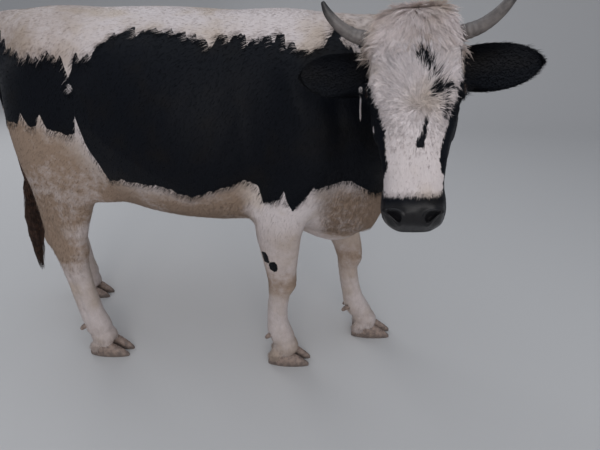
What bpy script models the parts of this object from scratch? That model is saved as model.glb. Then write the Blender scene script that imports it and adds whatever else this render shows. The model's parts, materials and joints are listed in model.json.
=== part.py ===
"""A standing black and white cow, life size, that turns its head to its right.

Metres, +Z up, +X towards the front of the trunk, +Y to the animal's left.
The flesh is lofted along the spine, neck, head, tail and legs, fused by a voxel
remesh, thinned, and parted into named nodes by thin cuts.  Horns, eyes, ears,
claws, dewclaws and udder are bodies of their own that seat in the flesh.
"""

from math import cos, pi, radians, sin

import bmesh
import bpy
import numpy as np
from mathutils import Matrix, Vector

# ---------------------------------------------------------------- driving sizes
WITHERS_HEIGHT = 1.355      # top of the shoulders above the ground
HEAD_LENGTH = 0.502         # poll to lips
FACE_TILT = radians(70)     # slope of the face below the horizontal
HEAD_HEADING = radians(-93.5) # plan direction of the face, from the trunk's +X
HEAD_ROLL = radians(5.3)     # muzzle swung to the animal's left
POLL = Vector((0.728, -0.392, 1.352))

VOXEL = 0.011               # grain of the fused flesh
CUT = 0.0006                # width of the cuts that part the flesh
SEAT = 0.0010               # clearance round a piece that seats in the flesh
FLESH_FACES = 3200          # triangles left in the fused flesh

RIGHT, LEFT = -1, 1         # sign of Y for each side


# ---------------------------------------------------------------- scene basics
def clear_scene():
    for old in list(bpy.data.objects):
        bpy.data.objects.remove(old, do_unlink=True)


clear_scene()
COW = bpy.data.collections.new("cow")
CUTTERS = bpy.data.collections.new("cutters")
for collection in (COW, CUTTERS):
    bpy.context.scene.collection.children.link(collection)


def material(name, colour, roughness):
    """A Principled material of one colour."""
    made = bpy.data.materials.new(name)
    made.use_nodes = True
    shader = made.node_tree.nodes["Principled BSDF"]
    shader.inputs["Base Color"].default_value = (*colour, 1)
    shader.inputs["Roughness"].default_value = roughness
    shader.inputs["Metallic"].default_value = 0
    return made


WHITE_COAT = material("white_coat", (0.55, 0.50, 0.47), 0.9)
BLACK_COAT = material("black_coat", (0.012, 0.013, 0.017), 0.6)
HORN = material("horn", (0.16, 0.15, 0.15), 0.45)
HOOF = material("hoof", (0.20, 0.16, 0.12), 0.6)
EYE = material("eye", (0.012, 0.010, 0.010), 0.08)
BARE_SKIN = material("bare_skin", (0.46, 0.30, 0.26), 0.6)
SWITCH_HAIR = material("switch_hair", (0.055, 0.030, 0.020), 0.85)


def new_object(name, mesh_or_bmesh, collection=COW, finish=None, smooth=True):
    """Links a mesh, or a bmesh made into one, as an object."""
    if isinstance(mesh_or_bmesh, bmesh.types.BMesh):
        mesh = bpy.data.meshes.new(name)
        mesh_or_bmesh.to_mesh(mesh)
        mesh_or_bmesh.free()
    else:
        mesh = mesh_or_bmesh
    if smooth:
        mesh.shade_smooth()
    if finish:
        mesh.materials.clear()
        mesh.materials.append(finish)
    made = bpy.data.objects.new(name, mesh)
    collection.objects.link(made)
    if collection is CUTTERS:
        made.hide_render = True
        made.display_type = "WIRE"
    return made


def evaluated_mesh(obj):
    """The object's mesh with its modifiers applied, as new data."""
    graph = bpy.context.evaluated_depsgraph_get()
    graph.update()
    return bpy.data.meshes.new_from_object(obj.evaluated_get(graph))


def bake_modifiers(obj):
    """Applies every modifier of the object."""
    done = evaluated_mesh(obj)
    obj.modifiers.clear()
    obj.data = done


# ---------------------------------------------------------------- lofting
def eased(rows, steps):
    """Rows of numbers carried smoothly through each given row (cubic Hermite)."""
    rows = np.array(rows, float)
    slope = np.gradient(rows, axis=0)
    t = np.linspace(0, 1, steps, endpoint=False)[:, None]
    h00, h10 = 2 * t**3 - 3 * t**2 + 1, t**3 - 2 * t**2 + t
    h01, h11 = -2 * t**3 + 3 * t**2, t**3 - t**2
    spans = [
        h00 * a + h10 * m + h01 * b + h11 * n
        for a, b, m, n in zip(rows[:-1], rows[1:], slope[:-1], slope[1:])
    ]
    return np.vstack([*spans, rows[-1:]])


def ring(row, side, along, count):
    """A superellipse ring: row is centre, half width, reach up, reach down, squareness."""
    centre, (width, up, down, square) = Vector(row[:3]), row[3:7]
    across = (side - along * side.dot(along)).normalized()
    over = along.cross(across)
    points = []
    for k in range(count):
        angle = 2 * pi * k / count
        c, s = cos(angle), sin(angle)
        u = width * np.sign(c) * abs(c) ** (2 / square)
        v = (up if s > 0 else down) * np.sign(s) * abs(s) ** (2 / square)
        points.append(centre + across * u + over * v)
    return points


def loft(bm, rows, side, count=28, steps=4, ahead=None):
    """Adds a closed tube through superellipse sections to bm.

    side is the direction of the section's width, one vector, or None for the
    left of the heading, as a neck that turns needs.  ahead holds every section
    square to one direction; without it each is square to the tube."""
    rows = eased(rows, steps)
    heading = np.gradient(rows[:, :3], axis=0)
    loops = []
    for row, course in zip(rows, heading):
        along = Vector(ahead or course).normalized()
        across = Vector((0, 0, 1)).cross(along) if side is None else Vector(side)
        loops.append([bm.verts.new(p) for p in ring(row, across, along, count)])
    for first, second in zip(loops[:-1], loops[1:]):
        for k in range(count):
            after = (k + 1) % count
            bm.faces.new((first[k], first[after], second[after], second[k]))
    bm.faces.new(loops[0][::-1])
    bm.faces.new(loops[-1])
    return loops


def lump(bm, centre, radii, turn=Matrix.Identity(3)):
    """Adds an ellipsoid of these half sizes to bm, its axes turned by a matrix."""
    place = Matrix.Translation(centre) @ turn.to_4x4() @ Matrix.Diagonal((*radii, 1))
    bmesh.ops.create_uvsphere(bm, u_segments=20, v_segments=12, radius=1, matrix=place)


# ---------------------------------------------------------------- head frame
FORWARD = Vector((cos(HEAD_HEADING), sin(HEAD_HEADING), 0))
DOWN_FACE = (FORWARD * cos(FACE_TILT) - Vector((0, 0, 1)) * sin(FACE_TILT)).normalized()
ACROSS = Vector((0, 0, 1)).cross(FORWARD)
FRONT = DOWN_FACE.cross(ACROSS).normalized()
ROLL = Matrix.Rotation(HEAD_ROLL, 3, FRONT)
DOWN_FACE, ACROSS = ROLL @ DOWN_FACE, ROLL @ ACROSS
HEAD_TURN = Matrix((ACROSS, DOWN_FACE, FRONT)).transposed()


def on_head(across, down, front):
    """A point from the poll: to the animal's left, down the face, out of the face."""
    return POLL + ACROSS * across + DOWN_FACE * down + FRONT * front


# ---------------------------------------------------------------- flesh
def trunk(bm):
    """The barrel: x, top, bottom, half width, height of the widest line, squareness."""
    sections = [
        (-0.698, 1.250, 1.060, 0.060, 1.14, 2.0),   # buttock
        (-0.668, 1.295, 0.950, 0.120, 1.14, 2.1),   # pin bones
        (-0.600, 1.330, 0.850, 0.168, 1.12, 2.2),
        (-0.515, 1.352, 0.775, 0.208, 1.10, 2.55),  # rump
        (-0.400, 1.358, 0.715, 0.242, 1.09, 2.8),   # hook bones
        (-0.270, 1.350, 0.680, 0.272, 1.02, 2.45),  # loin and flank
        (-0.120, 1.346, 0.645, 0.315, 0.96, 2.2),   # last ribs
        (0.040, 1.344, 0.628, 0.325, 0.94, 2.1),    # middle of the barrel
        (0.180, 1.348, 0.625, 0.290, 0.94, 2.05),
        (0.300, 1.352, 0.618, 0.245, 0.95, 1.95),   # girth
        (0.400, WITHERS_HEIGHT, 0.592, 0.212, 0.95, 1.9),
        (0.500, 1.335, 0.570, 0.195, 0.93, 2.0),    # shoulders
        (0.590, 1.270, 0.570, 0.175, 0.91, 2.1),    # breast
        (0.660, 1.160, 0.600, 0.145, 0.88, 2.1),
        (0.708, 1.060, 0.670, 0.100, 0.86, 2.0),
        (0.734, 0.960, 0.740, 0.045, 0.86, 2.0),
    ]
    rows = [
        (x, 0, mid, wide, top - mid, mid - low, square)
        for x, top, low, wide, mid, square in sections
    ]
    loft(bm, rows, (0, 1, 0), count=40, steps=3, ahead=(1, 0, 0))


def hips_and_shoulders(bm):
    """Hook bones, pin bones, the withers' ridge and the tail's root."""
    for side in (RIGHT, LEFT):
        lump(bm, (-0.395, side * 0.190, 1.225), (0.120, 0.062, 0.066))
        lump(bm, (-0.635, side * 0.095, 1.190), (0.062, 0.062, 0.085))
    lump(bm, (0.330, 0, 1.265), (0.220, 0.085, 0.095))
    lump(bm, (-0.590, 0, 1.280), (0.170, 0.080, 0.068))
    lump(bm, (-0.080, 0, 1.290), (0.420, 0.085, 0.072))


def brisket(bm):
    """The fold of skin that hangs between and before the front legs."""
    loft(bm, [
        (0.340, 0, 0.640, 0.055, 0.080, 0.045, 2),
        (0.420, 0, 0.640, 0.065, 0.100, 0.082, 2),
        (0.500, 0, 0.650, 0.065, 0.110, 0.120, 2),
        (0.570, 0, 0.670, 0.060, 0.120, 0.132, 2),
        (0.635, 0, 0.700, 0.054, 0.120, 0.120, 2),
        (0.690, 0, 0.760, 0.048, 0.110, 0.110, 2),
        (0.722, -0.006, 0.840, 0.040, 0.100, 0.090, 2),
        (0.742, -0.024, 0.930, 0.030, 0.060, 0.070, 2),
    ], (0, 1, 0), count=20, steps=3, ahead=(1, 0, 0))


def neck(bm):
    """Turns from the shoulders to the right and up to the back of the head."""
    loft(bm, [
        (0.340, 0.000, 1.060, 0.185, 0.260, 0.290, 2.0),
        (0.470, -0.002, 1.060, 0.182, 0.283, 0.320, 2.0),
        (0.585, -0.030, 1.075, 0.165, 0.275, 0.300, 2.0),
        (0.668, -0.092, 1.105, 0.138, 0.250, 0.245, 2.0),
        (0.712, -0.172, 1.135, 0.118, 0.222, 0.198, 2.0),
        (0.730, -0.250, 1.160, 0.104, 0.190, 0.165, 2.1),
        (0.738, -0.330, 1.185, 0.088, 0.145, 0.130, 2.1),
        (0.742, -0.385, 1.205, 0.070, 0.100, 0.110, 2.0),
    ], None, count=32)


def head(bm):
    """Down the face: distance from the poll, half width, reach to front and back, squareness."""
    sections = [
        (-0.020, 0.050, 0.000, 0.055, 2.0),
        (0.004, 0.084, 0.020, 0.088, 2.3),    # poll
        (0.050, 0.100, 0.038, 0.122, 2.5),    # horns
        (0.100, 0.102, 0.045, 0.152, 2.6),    # forehead
        (0.150, 0.100, 0.046, 0.175, 2.6),
        (0.200, 0.100, 0.044, 0.190, 2.5),    # eyes
        (0.250, 0.092, 0.043, 0.185, 2.4),    # angle of the jaw
        (0.300, 0.082, 0.045, 0.155, 2.3),
        (0.350, 0.076, 0.049, 0.122, 2.3),    # bridge of the nose
        (0.395, 0.073, 0.053, 0.094, 2.4),
        (0.435, 0.076, 0.055, 0.078, 2.6),    # nostrils
        (0.465, 0.073, 0.050, 0.070, 2.7),    # lips
        (0.488, 0.060, 0.034, 0.058, 2.5),
        (HEAD_LENGTH, 0.034, 0.008, 0.036, 2.2),
    ]
    rows = [
        (*on_head(0, down, 0), wide, front, back, square)
        for down, wide, front, back, square in sections
    ]
    loft(bm, rows, ACROSS, count=36, steps=3)
    for side in (RIGHT, LEFT):
        lump(bm, on_head(side * 0.080, 0.176, 0.004), (0.032, 0.044, 0.036), HEAD_TURN)
        lump(bm, on_head(side * 0.066, 0.225, -0.090), (0.040, 0.095, 0.082), HEAD_TURN)
        lump(bm, on_head(side * 0.082, 0.070, -0.030), (0.030, 0.050, 0.045), HEAD_TURN)


def tail_dock(bm):
    """The fleshy tail, from the rump down to the switch."""
    loft(bm, [
        (-0.610, 0, 1.316, 0.042, 0.038, 0.040, 2),
        (-0.680, 0, 1.312, 0.036, 0.033, 0.034, 2),
        (-0.724, 0, 1.280, 0.031, 0.029, 0.029, 2),
        (-0.747, 0, 1.210, 0.027, 0.025, 0.025, 2),
        (-0.755, 0, 1.060, 0.024, 0.022, 0.022, 2),
        (-0.752, 0, 0.900, 0.021, 0.019, 0.019, 2),
        (-0.746, 0, 0.740, 0.019, 0.017, 0.017, 2),
    ], (0, 1, 0), count=16)


# Each leg: how far its elbow or stifle, knee or hock, and foot stand from the
# mean, forwards; the legs differ only in this step and in their side.
LEGS = {
    "front_right": {"side": RIGHT, "foot": (0.360, 0.112), "bend": (0.346, 0.126), "top": (0.350, 0.172)},
    "front_left": {"side": LEFT, "foot": (0.690, 0.124), "bend": (0.584, 0.128), "top": (0.440, 0.172)},
    "hind_right": {"side": RIGHT, "foot": (-0.408, 0.190), "bend": (-0.482, 0.190), "top": (-0.445, 0.182)},
    "hind_left": {"side": LEFT, "foot": (-0.722, 0.184), "bend": (-0.742, 0.186), "top": (-0.500, 0.182)},
}


def front_leg(bm, side, foot, bend, top):
    """Shoulder, forearm, knee, cannon, fetlock and pastern.

    A row is the height, the share of the way from the elbow to the knee or from
    the knee to the foot, a forward shift, and the half sizes across and fore and aft."""
    (foot_x, foot_y), (knee_x, knee_y), (elbow_x, elbow_y) = foot, bend, top
    blade = [
        (elbow_x - 0.012, elbow_y - 0.070, 1.265, 0.020, 0.060, 0.050),
        (elbow_x + 0.000, elbow_y - 0.052, 1.220, 0.044, 0.095, 0.085),
        (elbow_x + 0.050, elbow_y - 0.008, 1.120, 0.066, 0.120, 0.120),
        (elbow_x + 0.085, elbow_y + 0.008, 0.960, 0.080, 0.125, 0.140),
        (elbow_x + 0.070, elbow_y + 0.005, 0.840, 0.080, 0.112, 0.140),
        (elbow_x + 0.020, elbow_y - 0.006, 0.735, 0.068, 0.098, 0.112),
    ]
    forearm = [
        (0.640, 0.35, 0.0, 0.058, 0.087, 0.093),
        (0.545, 0.68, 0.0, 0.050, 0.074, 0.080),
        (0.475, 0.90, 0.0, 0.047, 0.065, 0.070),
        (0.405, 1.00, 0.0, 0.048, 0.059, 0.058),
    ]
    shank = [
        (0.340, 0.10, -0.010, 0.041, 0.044, 0.049),
        (0.270, 0.30, -0.020, 0.037, 0.041, 0.050),
        (0.205, 0.48, -0.023, 0.038, 0.041, 0.053),
        (0.158, 0.58, -0.018, 0.047, 0.049, 0.062),
        (0.112, 0.70, -0.004, 0.047, 0.048, 0.056),
        (0.075, 0.82, 0.004, 0.052, 0.050, 0.055),
        (0.048, 0.90, 0.008, 0.049, 0.048, 0.052),
    ]
    rows = [(x, side * y, z, wide, ahead, behind, 2.1) for x, y, z, wide, ahead, behind in blade]
    for z, share, shift, wide, ahead, behind in forearm:
        x = elbow_x + (knee_x - elbow_x) * share + shift
        y = elbow_y + (knee_y - elbow_y) * share
        rows.append((x, side * y, z, wide, ahead, behind, 2.1))
    for z, share, shift, wide, ahead, behind in shank:
        x = knee_x + (foot_x - knee_x) * share + shift
        y = knee_y + (foot_y - knee_y) * share
        rows.append((x, side * y, z, wide, ahead, behind, 2.1))
    loft(bm, rows, (0, 1, 0), count=24)
    lump(bm, (knee_x + 0.012, side * knee_y, 0.402), (0.052, 0.050, 0.055))
    lump(bm, (elbow_x - 0.085, side * (elbow_y - 0.005), 0.735), (0.055, 0.050, 0.055))


def hind_leg(bm, side, foot, bend, top):
    """Thigh, gaskin, hock, cannon, fetlock and pastern, in rows as for the front leg."""
    (foot_x, foot_y), (hock_x, hock_y), (stifle_x, stifle_y) = foot, bend, top
    thigh = [
        (stifle_x + 0.030, stifle_y - 0.035, 1.160, 0.088, 0.185, 0.176),
        (stifle_x + 0.005, stifle_y - 0.010, 1.010, 0.097, 0.185, 0.165),
        (stifle_x, stifle_y, 0.885, 0.093, 0.174, 0.150),
        (stifle_x + 0.004, stifle_y + 0.004, 0.790, 0.080, 0.150, 0.142),
    ]
    gaskin = [
        (0.705, 0.28, 0.0, 0.064, 0.116, 0.124),
        (0.625, 0.66, 0.0, 0.052, 0.096, 0.102),
        (0.545, 0.96, 0.0, 0.045, 0.084, 0.088),
    ]
    shank = [
        (0.450, 0.10, 0.0, 0.043, 0.060, 0.070),
        (0.360, 0.18, 0.0, 0.039, 0.050, 0.063),
        (0.265, 0.30, 0.0, 0.038, 0.048, 0.063),
        (0.190, 0.45, 0.0, 0.040, 0.050, 0.064),
        (0.142, 0.58, 0.0, 0.048, 0.056, 0.070),
        (0.104, 0.70, 0.0, 0.046, 0.052, 0.062),
        (0.074, 0.82, 0.0, 0.052, 0.053, 0.058),
        (0.048, 0.90, 0.0, 0.049, 0.050, 0.053),
    ]
    rows = [(x, side * y, z, wide, ahead, behind, 2.15) for x, y, z, wide, ahead, behind in thigh]
    for z, share, shift, wide, ahead, behind in gaskin:
        x = stifle_x + (hock_x - stifle_x) * share + shift
        y = stifle_y + (hock_y - stifle_y) * share
        rows.append((x, side * y, z, wide, ahead, behind, 2.1))
    for z, share, shift, wide, ahead, behind in shank:
        x = hock_x + (foot_x - hock_x) * share + shift
        y = hock_y + (foot_y - hock_y) * share
        rows.append((x, side * y, z, wide, ahead, behind, 2.1))
    loft(bm, rows, (0, 1, 0), count=24)
    lump(bm, (hock_x - 0.072, side * hock_y, 0.545), (0.030, 0.028, 0.045))
    lump(bm, (hock_x + 0.030, side * hock_y, 0.500), (0.052, 0.047, 0.060))


def flank_folds(bm):
    """The fold of skin from the belly to each stifle."""
    for side, stifle_x in ((RIGHT, -0.330), (LEFT, -0.380)):
        lump(bm, (stifle_x + 0.05, side * 0.195, 0.800), (0.120, 0.040, 0.100))


def fused_flesh():
    """One skin of flesh: every loft above, remeshed as voxels, smoothed and thinned."""
    bm = bmesh.new()
    trunk(bm)
    hips_and_shoulders(bm)
    brisket(bm)
    neck(bm)
    head(bm)
    tail_dock(bm)
    for name, leg in LEGS.items():
        (front_leg if name.startswith("front") else hind_leg)(bm, **leg)
    flank_folds(bm)
    flesh = new_object("flesh", bm)
    remesh = flesh.modifiers.new("fuse", "REMESH")
    remesh.mode = "VOXEL"
    remesh.voxel_size = VOXEL
    bake_modifiers(flesh)
    mark_broad(flesh)
    for iterations, group in ((5, ""), (90, "broad")):
        soften = flesh.modifiers.new("soften", "SMOOTH")
        soften.factor = 0.5
        soften.iterations = iterations
        soften.vertex_group = group
    bake_modifiers(flesh)
    faces = sum(len(p.vertices) - 2 for p in flesh.data.polygons)
    thin = flesh.modifiers.new("thin", "DECIMATE")
    thin.ratio = FLESH_FACES / faces
    thin.use_collapse_triangulate = True
    bake_modifiers(flesh)
    return flesh


def mark_broad(flesh):
    """Weighs where the flesh is smoothed most: all of the trunk, not the head, feet or tail."""
    group = flesh.vertex_groups.new(name="broad")
    for vertex in flesh.data.vertices:
        x, y, z = vertex.co
        high = min(max((z - 0.66) / 0.14, 0), 1)
        not_head = min(max((y + 0.28) / 0.14, 0), 1) if x > 0.5 else 1
        not_tail = min(max((x + 0.72) / 0.05, 0), 1)
        group.add([vertex.index], high * not_head * not_tail, "REPLACE")


# ---------------------------------------------------------------- horns, ears, eyes
def horn(side):
    """Curves outwards, up and a little forward from the side of the poll."""
    curve = bpy.data.curves.new("horn", "CURVE")
    curve.dimensions = "3D"
    curve.bevel_depth = 1
    curve.bevel_resolution = 2
    curve.use_fill_caps = True
    spine = curve.splines.new("POLY")
    rows = eased([
        (0.070, 0.054, -0.030, 0.0185),
        (0.112, 0.049, -0.020, 0.0170),
        (0.146, 0.040, -0.006, 0.0150),
        (0.174, 0.022, 0.010, 0.0128),
        (0.196, -0.002, 0.024, 0.0098),
        (0.208, -0.026, 0.036, 0.0040),
    ], 2)
    spine.points.add(len(rows) - 1)
    for point, (across, down, front, radius) in zip(spine.points, rows):
        point.co = (*on_head(side * across, down, front), 1)
        point.radius = radius
    source = bpy.data.objects.new("horn", curve)
    COW.objects.link(source)
    mesh = evaluated_mesh(source)
    bpy.data.objects.remove(source)
    bm = bmesh.new()
    bm.from_mesh(mesh)
    bmesh.ops.remove_doubles(bm, verts=bm.verts, dist=0.0001)
    bmesh.ops.recalc_face_normals(bm, faces=bm.faces)
    return new_object("horn_" + side_name(side), bm, finish=HORN)


def side_name(side):
    return "left" if side == LEFT else "right"


EAR_REACH, EAR_WALL = 0.286, 0.011


def ear(side):
    """A cupped leaf, open to the front, held out level from behind the horn.

    A row is the distance to the side, how far down the face its middle line is,
    its half width, how far it is set back, and the depth of its cup."""
    rows = eased([
        (0.082, 0.129, 0.026, -0.058, 0.020),
        (0.112, 0.126, 0.042, -0.066, 0.026),
        (0.150, 0.123, 0.050, -0.074, 0.024),
        (0.195, 0.121, 0.055, -0.080, 0.019),
        (0.238, 0.119, 0.046, -0.082, 0.013),
        (0.268, 0.116, 0.030, -0.080, 0.008),
        (EAR_REACH, 0.114, 0.010, -0.076, 0.002),
    ], 1)
    across_count = 6
    bm = bmesh.new()
    grid = [
        [
            bm.verts.new(on_head(side * across, down + half * v, front + cup * v * v))
            for v in (2 * j / across_count - 1 for j in range(across_count + 1))
        ]
        for across, down, half, front, cup in rows
    ]
    for first, second in zip(grid[:-1], grid[1:]):
        for j in range(across_count):
            corners = (first[j], second[j], second[j + 1], first[j + 1])
            bm.faces.new(corners if side == LEFT else corners[::-1])
    made = new_object("ear_" + side_name(side), bm, finish=BLACK_COAT)
    wall = made.modifiers.new("wall", "SOLIDIFY")
    wall.thickness = EAR_WALL
    wall.offset = 0
    bake_modifiers(made)
    return made


EYE_RADIUS = 0.0205


def eye(side):
    """The eyeball, seated in the side of the head."""
    bm = bmesh.new()
    centre = on_head(side * 0.0915, 0.180, 0.007)
    bmesh.ops.create_uvsphere(bm, u_segments=12, v_segments=7, radius=EYE_RADIUS,
                              matrix=Matrix.Translation(centre) @ HEAD_TURN.to_4x4())
    bmesh.ops.recalc_face_normals(bm, faces=bm.faces)
    return new_object("eye_" + side_name(side), bm, finish=EYE)


# ---------------------------------------------------------------- feet
CLAW_LENGTH, CLAW_HALF_WIDTH = 0.168, 0.0260


def claw(leg, foot, side, outer):
    """One long toe: a flat sole, a steep wall, and a toe that turns in a little."""
    foot_x, foot_y = foot
    lean = -0.012 * outer
    rows = [
        (-0.068, 0.0150, 0.026, 0.014),
        (-0.058, 0.0215, 0.043, 0.018),
        (-0.033, CLAW_HALF_WIDTH, 0.055, 0.020),
        (0.000, CLAW_HALF_WIDTH, 0.060, 0.020),
        (0.034, 0.0240, 0.048, 0.018),
        (0.064, 0.0190, 0.031, 0.014),
        (0.085, 0.0120, 0.017, 0.010),
        (0.093, 0.0060, 0.009, 0.006),
    ]
    scale = CLAW_LENGTH / (rows[-1][0] - rows[0][0])
    sections = []
    for x, wide, tall, sole in rows:
        y = side * foot_y + side * outer * (0.0285 + lean * outer * max(x, 0) / 0.09)
        sections.append((foot_x + x * scale, y, sole * 0.5, wide, tall, sole, 2.3))
    bm = bmesh.new()
    loft(bm, sections, (0, 1, 0), count=10, steps=1)
    for vertex in bm.verts:
        vertex.co.z = max(vertex.co.z, 0)
    bmesh.ops.remove_doubles(bm, verts=bm.verts, dist=0.0002)
    bmesh.ops.recalc_face_normals(bm, faces=bm.faces)
    place = "outer" if outer > 0 else "inner"
    return new_object(f"claw_{leg}_{place}", bm, finish=HOOF)


def dewclaw(leg, foot, side, outer, back, height):
    """A small blunt cone behind the fetlock, pointing down and back."""
    root = Vector((back, side * foot[1] + side * outer * 0.024, height))
    bm = bmesh.new()
    loft(bm, [
        (*root, 0.008, 0.008, 0.008, 2),
        (*(root + Vector((-0.010, 0, -0.006))), 0.0125, 0.014, 0.012, 2),
        (*(root + Vector((-0.024, 0, -0.018))), 0.0115, 0.012, 0.011, 2),
        (*(root + Vector((-0.033, 0, -0.030))), 0.0065, 0.007, 0.007, 2),
    ], (0, 1, 0), count=6, steps=1)
    bmesh.ops.recalc_face_normals(bm, faces=bm.faces)
    place = "outer" if outer > 0 else "inner"
    return new_object(f"dewclaw_{leg}_{place}", bm, finish=HOOF)


# ---------------------------------------------------------------- udder and switch
def udder():
    """A small udder between the thighs, with four short teats."""
    bm = bmesh.new()
    lump(bm, (-0.430, 0, 0.745), (0.125, 0.088, 0.085))
    for x in (-0.385, -0.480):
        for side in (RIGHT, LEFT):
            loft(bm, [
                (x, side * 0.044, 0.710, 0.018, 0.018, 0.018, 2),
                (x, side * 0.046, 0.675, 0.015, 0.015, 0.015, 2),
                (x, side * 0.047, 0.650, 0.012, 0.012, 0.012, 2),
                (x, side * 0.047, 0.641, 0.006, 0.006, 0.006, 2),
            ], (0, 1, 0), count=12)
    made = new_object("udder", bm, finish=BARE_SKIN)
    fuse = made.modifiers.new("fuse", "REMESH")
    fuse.mode = "VOXEL"
    fuse.voxel_size = 0.006
    thin = made.modifiers.new("thin", "DECIMATE")
    thin.ratio = 0.035
    thin.use_collapse_triangulate = True
    bake_modifiers(made)
    return made


def tail_switch():
    """The brush of long hair at the end of the tail."""
    bm = bmesh.new()
    loft(bm, [
        (-0.746, 0, 0.7390, 0.0200, 0.0190, 0.0190, 2),
        (-0.746, 0, 0.680, 0.0250, 0.0240, 0.0240, 2),
        (-0.762, 0, 0.600, 0.0350, 0.0330, 0.0330, 2),
        (-0.782, 0, 0.520, 0.0390, 0.0370, 0.0370, 2),
        (-0.793, 0, 0.440, 0.0340, 0.0320, 0.0320, 2),
        (-0.802, 0, 0.360, 0.0240, 0.0220, 0.0220, 2),
        (-0.810, 0, 0.290, 0.0150, 0.0140, 0.0140, 2),
        (-0.817, 0, 0.235, 0.0060, 0.0060, 0.0060, 2),
    ], (0, 1, 0), count=14, steps=1)
    return new_object("tail_switch", bm, finish=SWITCH_HAIR)


# ---------------------------------------------------------------- cuts and seats
def wedge(name, corners):
    """A convex cutter round these corners."""
    bm = bmesh.new()
    bmesh.ops.convex_hull(bm, input=[bm.verts.new(c) for c in corners])
    bmesh.ops.recalc_face_normals(bm, faces=bm.faces)
    return new_object("cut_of_" + name, bm, CUTTERS, smooth=False)


def combine(obj, cutters, operation):
    """Applies EXACT Booleans of the cutters to the object."""
    for cutter in cutters:
        cut = obj.modifiers.new("cut", "BOOLEAN")
        cut.operation = operation
        cut.solver = "EXACT"
        cut.object = cutter
    bake_modifiers(obj)


def grown(obj, by):
    """A cutter that is the object grown outwards by this much, for its seat."""
    bm = bmesh.new()
    bm.from_mesh(obj.data)
    bm.normal_update()
    for vertex, step in [(v, v.normal * min(v.calc_shell_factor(), 3) * by) for v in bm.verts]:
        vertex.co += step
    return new_object("seat_of_" + obj.name, bm, CUTTERS)


def take(flesh, name, corners):
    """Parts the flesh inside the corners from the rest, with a thin gap between."""
    cutter = wedge(name, corners)
    piece = new_object(name, flesh.data.copy(), finish=WHITE_COAT)
    combine(piece, [cutter], "INTERSECT")
    combine(flesh, [grown(cutter, CUT)], "DIFFERENCE")
    return piece


KNEE_CUT, HOCK_CUT = 0.395, 0.495


def column(x, y, top, half_x, half_y):
    """Corners of an upright box from under the ground to a level top."""
    return [(x + a * half_x, y + b * half_y, z) for z in (-0.1, top) for a in (-1, 1) for b in (-1, 1)]


def part_the_flesh(flesh):
    """Takes the tail, lower legs, upper legs, head and neck off the trunk."""
    pieces = [take(flesh, "tail", [
        (x, y, z) for x in (-0.716, -0.9) for y in (-0.07, 0.07) for z in (0.65, 1.40)
    ])]
    for name, leg in LEGS.items():
        side, (bend_x, bend_y), (foot_x, _) = leg["side"], leg["bend"], leg["foot"]
        where, front = name.split("_")[1], name.startswith("front")
        lower, level = ("foreleg_", KNEE_CUT) if front else ("hindleg_", HOCK_CUT)
        middle = (bend_x + foot_x) / 2
        corners = column(middle, side * bend_y, level, 0.19, bend_y - 0.004)
        pieces.append(take(flesh, lower + where, corners))
    for name, leg in LEGS.items():
        side, (top_x, _) = leg["side"], leg["top"]
        where, front = name.split("_")[1], name.startswith("front")
        if front:
            ahead, behind, inner = top_x + 0.25, top_x - 0.155, 0.060
            low_ahead, low_behind, rise, upper = 0.555, 0.600, 0.17, "forearm_"
        else:
            ahead, behind, inner = top_x + 0.255, -0.90, 0.002
            low_ahead, low_behind, rise, upper = 0.600, 0.890, 0.27, "thigh_"
        corners = [
            (x, side * y, z + dz)
            for x, z in ((ahead, low_ahead), (behind, low_behind))
            for y, dz in ((inner, 0), (0.402, rise * 0.4 / 0.27))
        ] + [(x, side * y, 0.2) for x in (ahead + 0.05, behind) for y in (inner, 0.402)]
        pieces.append(take(flesh, upper + where, corners))
    pieces.append(take(flesh, "head", [
        (x, y + dy, z)
        for x in (0.46, 1.05)
        for y, z in ((-0.283, 0.84), (-0.335, 1.42))
        for dy in (0, -0.6)
    ]))
    across, rising = Vector((0.34, 0.94, 0)), Vector((-0.41, 0, 0.91))
    pieces.append(take(flesh, "neck", [
        Vector((0.64, -0.08, 1.10)) + across * a + rising * b + Vector((c, 0, 0))
        for a in (-0.32, 0.30) for b in (-0.33, 0.40) for c in (0, 0.5)
    ]))
    flesh.name = flesh.data.name = "trunk"
    flesh.data.materials.clear()
    flesh.data.materials.append(WHITE_COAT)
    return pieces + [flesh]


def main():
    flesh = fused_flesh()
    seated = []
    for side in (RIGHT, LEFT):
        seated += [horn(side), ear(side), eye(side)]
    for name, leg in LEGS.items():
        share, reach, height = (0.60, -0.046, 0.150) if name.startswith("front") else (0.56, -0.038, 0.145)
        back = leg["bend"][0] + (leg["foot"][0] - leg["bend"][0]) * share + reach
        for outer in (1, -1):
            seated.append(claw(name, leg["foot"], leg["side"], outer))
            seated.append(dewclaw(name, leg["foot"], leg["side"], outer, back, height))
    seated += [udder(), tail_switch()]
    seats = {obj.name: grown(obj, SEAT) for obj in seated}
    for piece in part_the_flesh(flesh):
        near = [seats[o.name] for o in seated if touching(bounds([o]), bounds([piece]))]
        combine(piece, near, "DIFFERENCE")
    centre_on_ground()


def bounds(objects):
    """Lowest and highest corner of the objects' meshes."""
    corners = np.vstack([[v.co[:] for v in o.data.vertices] for o in objects])
    return corners.min(axis=0), corners.max(axis=0)


def touching(first, second):
    return bool((first[0] < second[1] + 0.01).all() and (second[0] < first[1] + 0.01).all())


def centre_on_ground():
    """Moves the whole animal so that its box stands on the origin, centred."""
    low, high = bounds(COW.objects)
    shift = Matrix.Translation((-(low[0] + high[0]) / 2, -(low[1] + high[1]) / 2, -low[2]))
    for obj in COW.objects:
        obj.data.transform(shift)
    for obj in CUTTERS.objects:
        obj.data.transform(shift)


main()
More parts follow.
